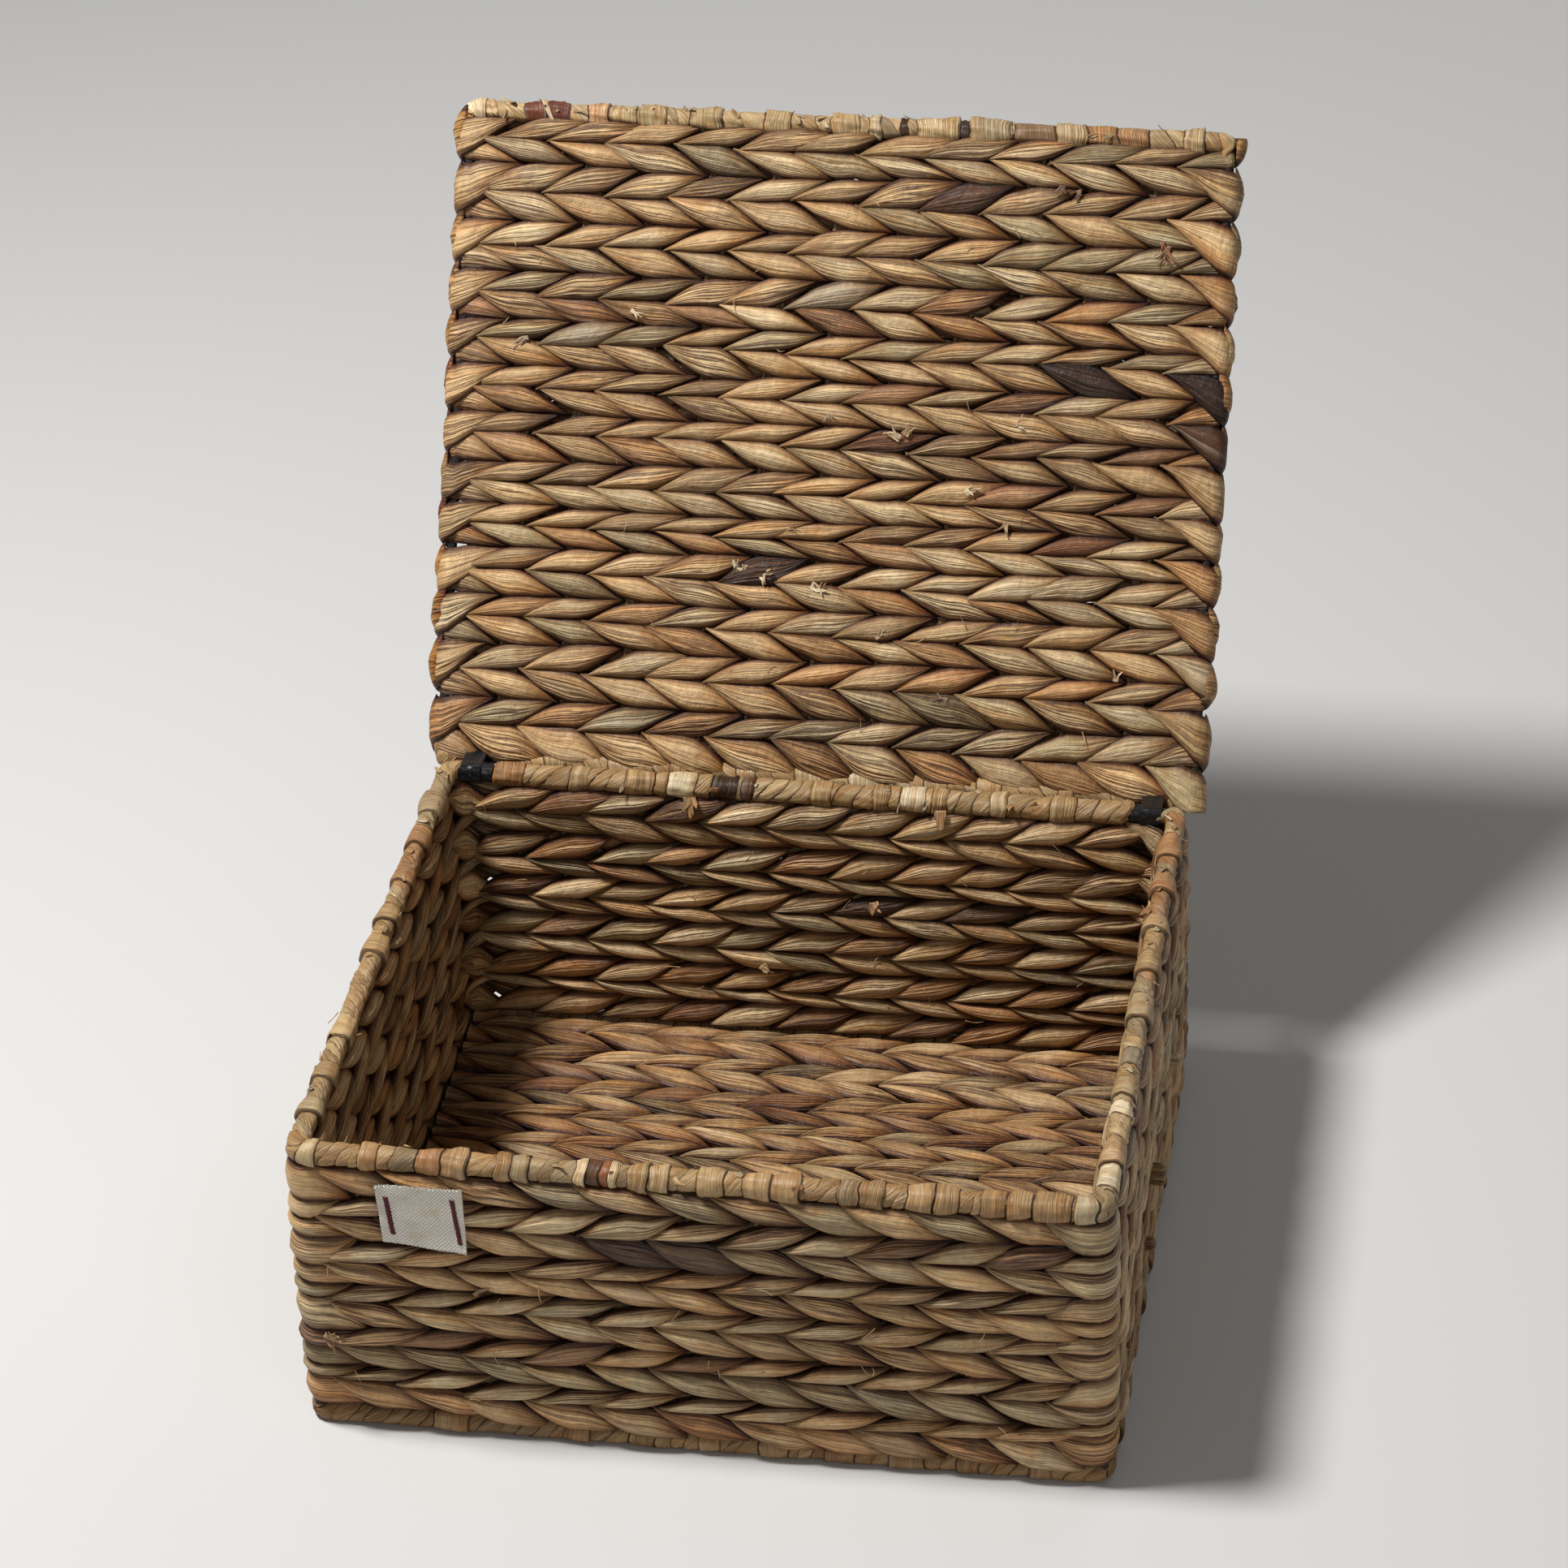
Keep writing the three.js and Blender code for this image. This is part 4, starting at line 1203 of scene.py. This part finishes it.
def label_bars(rng):
    """Two upright bars of close stitches."""
    bars = []
    for side, u_bar, slant, top, bottom in LABEL_BARS:
        lines = []
        for t in np.arange(0, 1, 0.042):
            middle = u_bar + slant * t
            down = top + (bottom - top) * t
            reach = np.array([-1.0, -0.75, 0.0, 0.75, 1.0]) * 0.029 * (1 + rng.normal(0, 0.08))
            rise = np.array([0.2, 0.85, 1.15, 0.85, 0.2])
            tilt = np.array([-0.008, -0.004, 0, 0.004, 0.008])
            lines.append(label_point(middle + reach, down + tilt, rise))
        bar = ribbons(f"label_thread_{side}", lines, FRONTWARD, 0.85, 0.7, [1.0, 1.0, 1.0], rng, around=8)
        bars.append(dress(bar, maroon_thread, "basket", "label_thread", f"label_stitch_{side}"))
    return bars


def label_threads(rng):
    """Cut threads along the top and the lower edge."""
    lines = []
    for u_thread in np.linspace(0.01, 0.99, 50):
        for v_thread, away in ((0.0, 1), (1.0, -1)):
            stub = rng.uniform(0.25, 0.9) * (1 if v_thread == 0 else 0.6)
            root = label_point(u_thread, v_thread, 0.38)
            lean = rng.normal(0, 0.25)
            steps = (-0.8, -0.2, 0.4, 1.0)
            lines.append([root + np.array([lean * t, -0.3 * t * t, away * stub * t]) for t in steps])
    fringe = ribbons("label_fringe", lines, FRONTWARD, 0.5, 0.45, [1.0, 1.0, 1.0], rng, around=6)
    return dress(fringe, cotton_thread, "basket", "label_canvas")


def sew_label():
    rng = np.random.default_rng(17)
    label = label_cloth(rng)
    bars = label_bars(rng)
    fringe = label_threads(rng)


# Loose bits of leaf

# A scrap starts at a point and runs off, lifting away from the face it lies on
Leaf = namedtuple("Leaf", "root normal heading length width colour lift curl twist")


def tuft(root, normal, heading, length, width, colour, rng, count=4):
    """A few torn fibres that start together."""
    root, heading = np.asarray(root, float), np.asarray(heading, float)
    aside = np.cross(normal, heading)
    leaves = []
    for _ in range(count):
        way = heading + aside * rng.normal(0, 0.18)
        start = root + aside * rng.uniform(-0.5, 0.5) * width
        size = (length * rng.uniform(0.5, 1.1), width * rng.uniform(0.35, 0.85))
        bend = (rng.uniform(0.5, 2.6), rng.normal(0, 0.3) * length, rng.normal(0, 1))
        leaves.append(Leaf(start, normal, way, *size, colour, *bend))
    return leaves


def scatter(name, leaves, body, rng, ceiling=None):
    """One piece of many leaves. None of it rises above the ceiling."""
    t = np.linspace(0, 1, 9)[:, None]
    strips = []
    for leaf in leaves:
        normal = leaf.normal / np.linalg.norm(leaf.normal)
        heading = leaf.heading - normal * np.dot(leaf.heading, normal)
        heading /= np.linalg.norm(heading)
        aside = np.cross(normal, heading)
        wave = rng.uniform(-0.12, 0.12) * leaf.length
        swing = leaf.curl * t ** 2 + wave * np.sin(math.pi * t)
        line = leaf.root + heading * leaf.length * t + aside * swing + normal * leaf.lift * t ** 1.5
        if ceiling is not None:
            line[:, 2] = np.minimum(line[:, 2], ceiling)
        turned = normal * np.cos(leaf.twist * t) + aside * np.sin(leaf.twist * t)
        uneven = 1 + 0.15 * np.sin(9 * t[:, 0] + rng.uniform(0, 6))
        width = leaf.width * (1 - 0.75 * t[:, 0] ** 3) * uneven
        strips.append((line, turned, width, linear(leaf.colour) * rng.uniform(0.85, 1.1)))
    lines, normals, widths, colours = zip(*strips)
    piece = ribbons(name, lines, normals, widths, 0.35, colours, rng, around=8)
    dress(piece, wrap_leaf, body, "leaf_wrap")


# Where scraps show on the inside of the lid: x, v, heading in degrees from +x, length, width, colour
LID_SCRAPS = [
    (-40, 94, 60, 7, 4.5, PALE),
    (-36, 95, 115, 6, 3.0, PALE),
    (-30, 96, -40, 8, 3.0, PALE),
    (-28, 97, 20, 6, 2.0, (196, 160, 116)),
    (-5, 92, -30, 9, 3.2, PALE),
    (-2, 90, 70, 5, 2.4, (190, 150, 104)),
    (34, 163, 150, 8, 3.2, PALE),
    (36, 165, 60, 6, 2.4, (200, 166, 120)),
    (-1, 175, -70, 6, 1.6, ASH),
    (66, 140, 20, 8, 3.5, PALE),
    (87, 127, -120, 7, 2.2, (190, 156, 112)),
    (27, 69, 40, 6, 1.6, PALE),
    (63, 41, 160, 6, 2.0, ASH),
    (-98, 218, -20, 7, 1.8, PALE),
    (-18, 117, 30, 6, 1.5, ASH),
    (86, 173, 10, 7, 2.0, PALE),
    (-147, 202, 200, 9, 2.5, ASH),
    (142, 55, 80, 6, 2.0, PALE),
    (104, 286, -100, 6, 2.2, (120, 84, 60)),
    (112, 284, -70, 5, 2.0, (136, 98, 70)),
    (152, 262, -75, 13, 2.6, (142, 96, 66)),
    (156, 260, -100, 11, 2.2, (150, 104, 72)),
]


def rod_frays(start, end, across, above, count, rng, radius=5.5):
    """Frayed ends along a wrapped rod. across and above span its section."""
    start, end, across, above = (np.asarray(part, float) for part in (start, end, across, above))
    along = (end - start) / np.linalg.norm(end - start)
    leaves = []
    for share in rng.uniform(0.03, 0.97, count):
        angle = rng.uniform(0.0, math.pi)
        normal = across * math.cos(angle) + above * math.sin(angle)
        round_it = above * math.cos(angle) - across * math.sin(angle)
        heading = along * rng.choice([-1, 1]) * rng.uniform(0.2, 1) + round_it * rng.normal(0, 0.8)
        colour = WRAP_COLOURS[rng.integers(0, len(WRAP_COLOURS))][0]
        root = start + (end - start) * share + normal * radius
        size = (rng.uniform(2.5, 6.5), rng.uniform(0.8, 3.2))
        bend = (rng.uniform(0.8, 2.4), rng.uniform(-1.5, 1.5), rng.uniform(-1, 1))
        leaves.append(Leaf(root, normal, heading, *size, colour, *bend))
    return leaves


def fine_straws(face, normal, low, high, count, rng):
    """Hair-thin fibres that stand off a woven face. face turns x and v into a point."""
    leaves = []
    for _ in range(count):
        x = rng.uniform(low[0], high[0])
        v = rng.uniform(low[1], high[1])
        root = face(x, v)
        heading = rng.normal(0, 1, 3)
        size = (rng.uniform(3, 9), rng.uniform(0.2, 0.5))
        bend = (rng.uniform(0.5, 2.5), rng.uniform(-2, 2), 0.0)
        leaves.append(Leaf(root, normal, heading, *size, (206, 176, 130), *bend))
    return leaves


# Strands that end on the outside of the right wall: y, z, width, how far out it reaches, colour
CUT_ENDS = [
    (-12, 62, 12.0, 9.0, (166, 134, 92)),
    (-40, 44, 8.0, 7.0, (150, 112, 74)),
    (66, 70, 7.0, 8.0, (196, 172, 132)),
]


def cut_ends():
    rng = np.random.default_rng(19)
    t = np.linspace(0, 1, 8)[:, None]
    rounded = np.sqrt(1 - 0.55 * t[:, 0] ** 6) * (0.85 + 0.15 * t[:, 0])
    strips = []
    for y, z, width, out, colour in CUT_ENDS:
        line = np.array([HALF_WIDTH + 3.5, y, z]) + t * np.array([out, -1.5, 0.8])
        strips.append((line, width * rounded, linear(colour)))
    lines, widths, colours = zip(*strips)
    piece = ribbons("cut_strand_ends", lines, [0.0, -1.0, 0.25], widths, 5.0, colours, rng, 24, pleats=0.12)
    dress(piece, strand_leaf, "basket", "strands")


# Torn leaves that show on the basket: where they start, the face's normal, heading, length, width, colour
# and how many fibres, or else for a single leaf its lift and curl
TORN_LEAVES = [
    ([-55, 147.5, 145], [0, -1, 0.3], [0.1, 0, -1], 11, 6, (186, 148, 104), 6),
    ([64, 146.5, 146], [0, -1, 0.3], [0.15, 0, -1], 10, 5.5, (190, 150, 106), (1.5, -1)),
    ([-36, 146, 106.5], FRONTWARD, [1, 0, 1], 14, 0.8, (214, 186, 140), (0.6, 0)),
    ([-24, 145.5, 51], FRONTWARD, [0.6, 0, -0.6], 7, 5, (204, 170, 122), 5),
    ([32, 145.5, 92], FRONTWARD, [0.4, 0, -1], 6, 4, (190, 150, 108), 4),
    ([-166, -160.5, 50], FRONTWARD, [0.5, 0, 1], 8, 4, (190, 152, 108), 7),
    ([-166, -160.5, 50], FRONTWARD, [0.2, 0, -1], 6, 3, (140, 104, 70), 5),
    ([-99, -160, 81], FRONTWARD, [1, 0, 0.7], 9, 2.2, (150, 114, 80), (1.5, 0)),
]


def strew_box(rng):
    up = [0, 0, 1]
    front_left, front_right, back_right, back_left = ([x, y, RIM_HEIGHT] for x, y in WALL_CORNERS)
    box = rod_frays(front_left, front_right, [0, 1, 0], up, 16, rng)
    box += rod_frays(front_left, back_left, [1, 0, 0], up, 16, rng)
    box += rod_frays(front_right, back_right, [1, 0, 0], up, 24, rng)
    box += rod_frays([-150, HALF_DEPTH, RIM_HEIGHT], [150, HALF_DEPTH, RIM_HEIGHT], FRONTWARD, up, 20, rng)
    for root, normal, heading, length, width, colour, kind in TORN_LEAVES:
        if isinstance(kind, tuple):
            box.append(Leaf(root, normal, heading, length, width, colour, *kind, 0.0))
        else:
            box += tuft(root, normal, heading, length, width, colour, rng, kind)
    inside, ahead, aside = HALF_DEPTH - 6.8, HALF_DEPTH + 7.2, HALF_WIDTH + 7.2
    box += fine_straws(lambda x, v: [x, inside, v], FRONTWARD, (-160, 20), (160, 135), 24, rng)
    box += fine_straws(lambda x, v: [x, -ahead, v], FRONTWARD, (-165, 20), (165, 100), 20, rng)
    box += fine_straws(lambda y, v: [aside, y, v], [1, 0, 0], (-145, 20), (145, 130), 26, rng)
    box += fine_straws(lambda y, v: [-aside, y, v], [-1, 0, 0], (-145, 20), (145, 130), 20, rng)
    scatter("leaf_scraps_box", box, "basket", rng, ceiling=RIM_HEIGHT + RIM_PRESSED - 0.7)


def strew_lid(rng):
    lid = []
    for x, v, degrees, length, width, colour in LID_SCRAPS:
        angle = math.radians(degrees)
        root = lid_point(x, v, REACH + STRAND_THICK - 0.4)
        heading = np.array([math.cos(angle), 0, 0]) + math.sin(angle) * LID_ALONG
        lid += tuft(root, LID_OUT, heading, length, width, colour, rng)
    first, last = (lid_point(x, LID_LENGTH, 0) for x in (-HALF_LID, HALF_LID))
    lid += rod_frays(first, last, LID_OUT, LID_ALONG, 44, rng, 4.9)
    lid += fine_straws(lambda x, v: lid_point(x, v, 6.8), LID_OUT, (-170, 15), (170, 295), 30, rng)
    scatter("leaf_scraps_lid", lid, "lid", rng)


def lay_pale_strip(rng):
    """A pale strip wound over the reddish stretch of the lid's front wrap."""
    angle = np.linspace(2.0, -1.2, 14)
    reach = 6.55 - 0.35 * np.cos(1.6 * (angle - 0.4))
    strip = [-148 + 2.9 * (2.0 - angle), LID_LENGTH + reach * np.sin(angle), reach * np.cos(angle)]
    line = lid_to_basket(np.stack(strip, axis=-1))
    normal = np.sin(angle)[:, None] * LID_ALONG + np.cos(angle)[:, None] * LID_OUT
    widths = np.linspace(3.0, 1.6, 14)
    piece = ribbons("lid_pale_strip", [line], [normal], widths, 0.6, linear((222, 198, 160)), rng)
    dress(piece, wrap_leaf, "lid", "leaf_wrap")


def strew_leaves():
    rng = np.random.default_rng(18)
    strew_box(rng)
    strew_lid(rng)
    lay_pale_strip(rng)


weave_walls()
weave_floor()
weave_lid()
set_stakes()
wrap_box_rods()
wrap_lid_rods()
paint_rods()
make_clips()
sew_label()
cut_ends()
strew_leaves()


# Studio

def add_stage():
    size = 3000.0
    corners = np.array([[-size, -size, 0], [size, -size, 0], [size, size, 0], [-size, size, 0]])
    floor = make_mesh("studio_floor", corners, np.arange(4), np.array([0]), smooth=False)
    floor.data.materials.append(Shader("studio_floor").finish((0.60, 0.59, 0.575, 1.0), 0.9, 0.2))


def area_light(name, size, power, spot, target):
    data = bpy.data.lights.new(name, "AREA")
    data.shape = "DISK"
    data.size = size
    data.energy = power
    light = add_object(name, data)
    light.location = Vector(spot)
    light.rotation_euler = (Vector(target) - Vector(spot)).to_track_quat("-Z", "Y").to_euler()


def add_lights():
    world = bpy.data.worlds.new("studio")
    bpy.context.scene.world = world
    world.use_nodes = True
    background = world.node_tree.nodes["Background"]
    background.inputs["Color"].default_value = (1.0, 1.0, 1.0, 1.0)
    background.inputs["Strength"].default_value = 0.11
    middle = (0, 0.1, 0.15)
    area_light("key", 0.45, 58, (-0.8, -0.2, 2.05), middle)
    area_light("fill", 1.4, 5, (0.9, -1.6, 0.9), middle)
    area_light("back_fill", 1.6, 9, (0.7, 2.3, 1.3), middle)


def add_camera():
    """At the photograph's angle and distance, fitted to the basket's corners in it."""
    focal_share = 6529 / 1932          # focal length over the frame's width
    spot = Vector((0.3716, -1.9217, 1.5132))
    pitch, roll, yaw = (math.radians(a) for a in (32.846, -2.108, -10.464))
    forward = Vector((math.sin(yaw) * math.cos(pitch), math.cos(yaw) * math.cos(pitch), -math.sin(pitch)))
    level = Vector((math.cos(yaw), -math.sin(yaw), 0))
    above = level.cross(forward)
    right = math.cos(roll) * level + math.sin(roll) * above
    up = math.cos(roll) * above - math.sin(roll) * level
    data = bpy.data.cameras.new("camera")
    data.sensor_width = 36
    data.lens = focal_share * data.sensor_width
    data.clip_end = 30
    camera = add_object("camera", data)
    turn = Matrix((right, up, -forward)).transposed()
    camera.matrix_world = Matrix.Translation(spot) @ turn.to_4x4()
    bpy.context.scene.camera = camera


add_stage()
add_lights()
add_camera()
bpy.context.scene.view_settings.view_transform = "Standard"
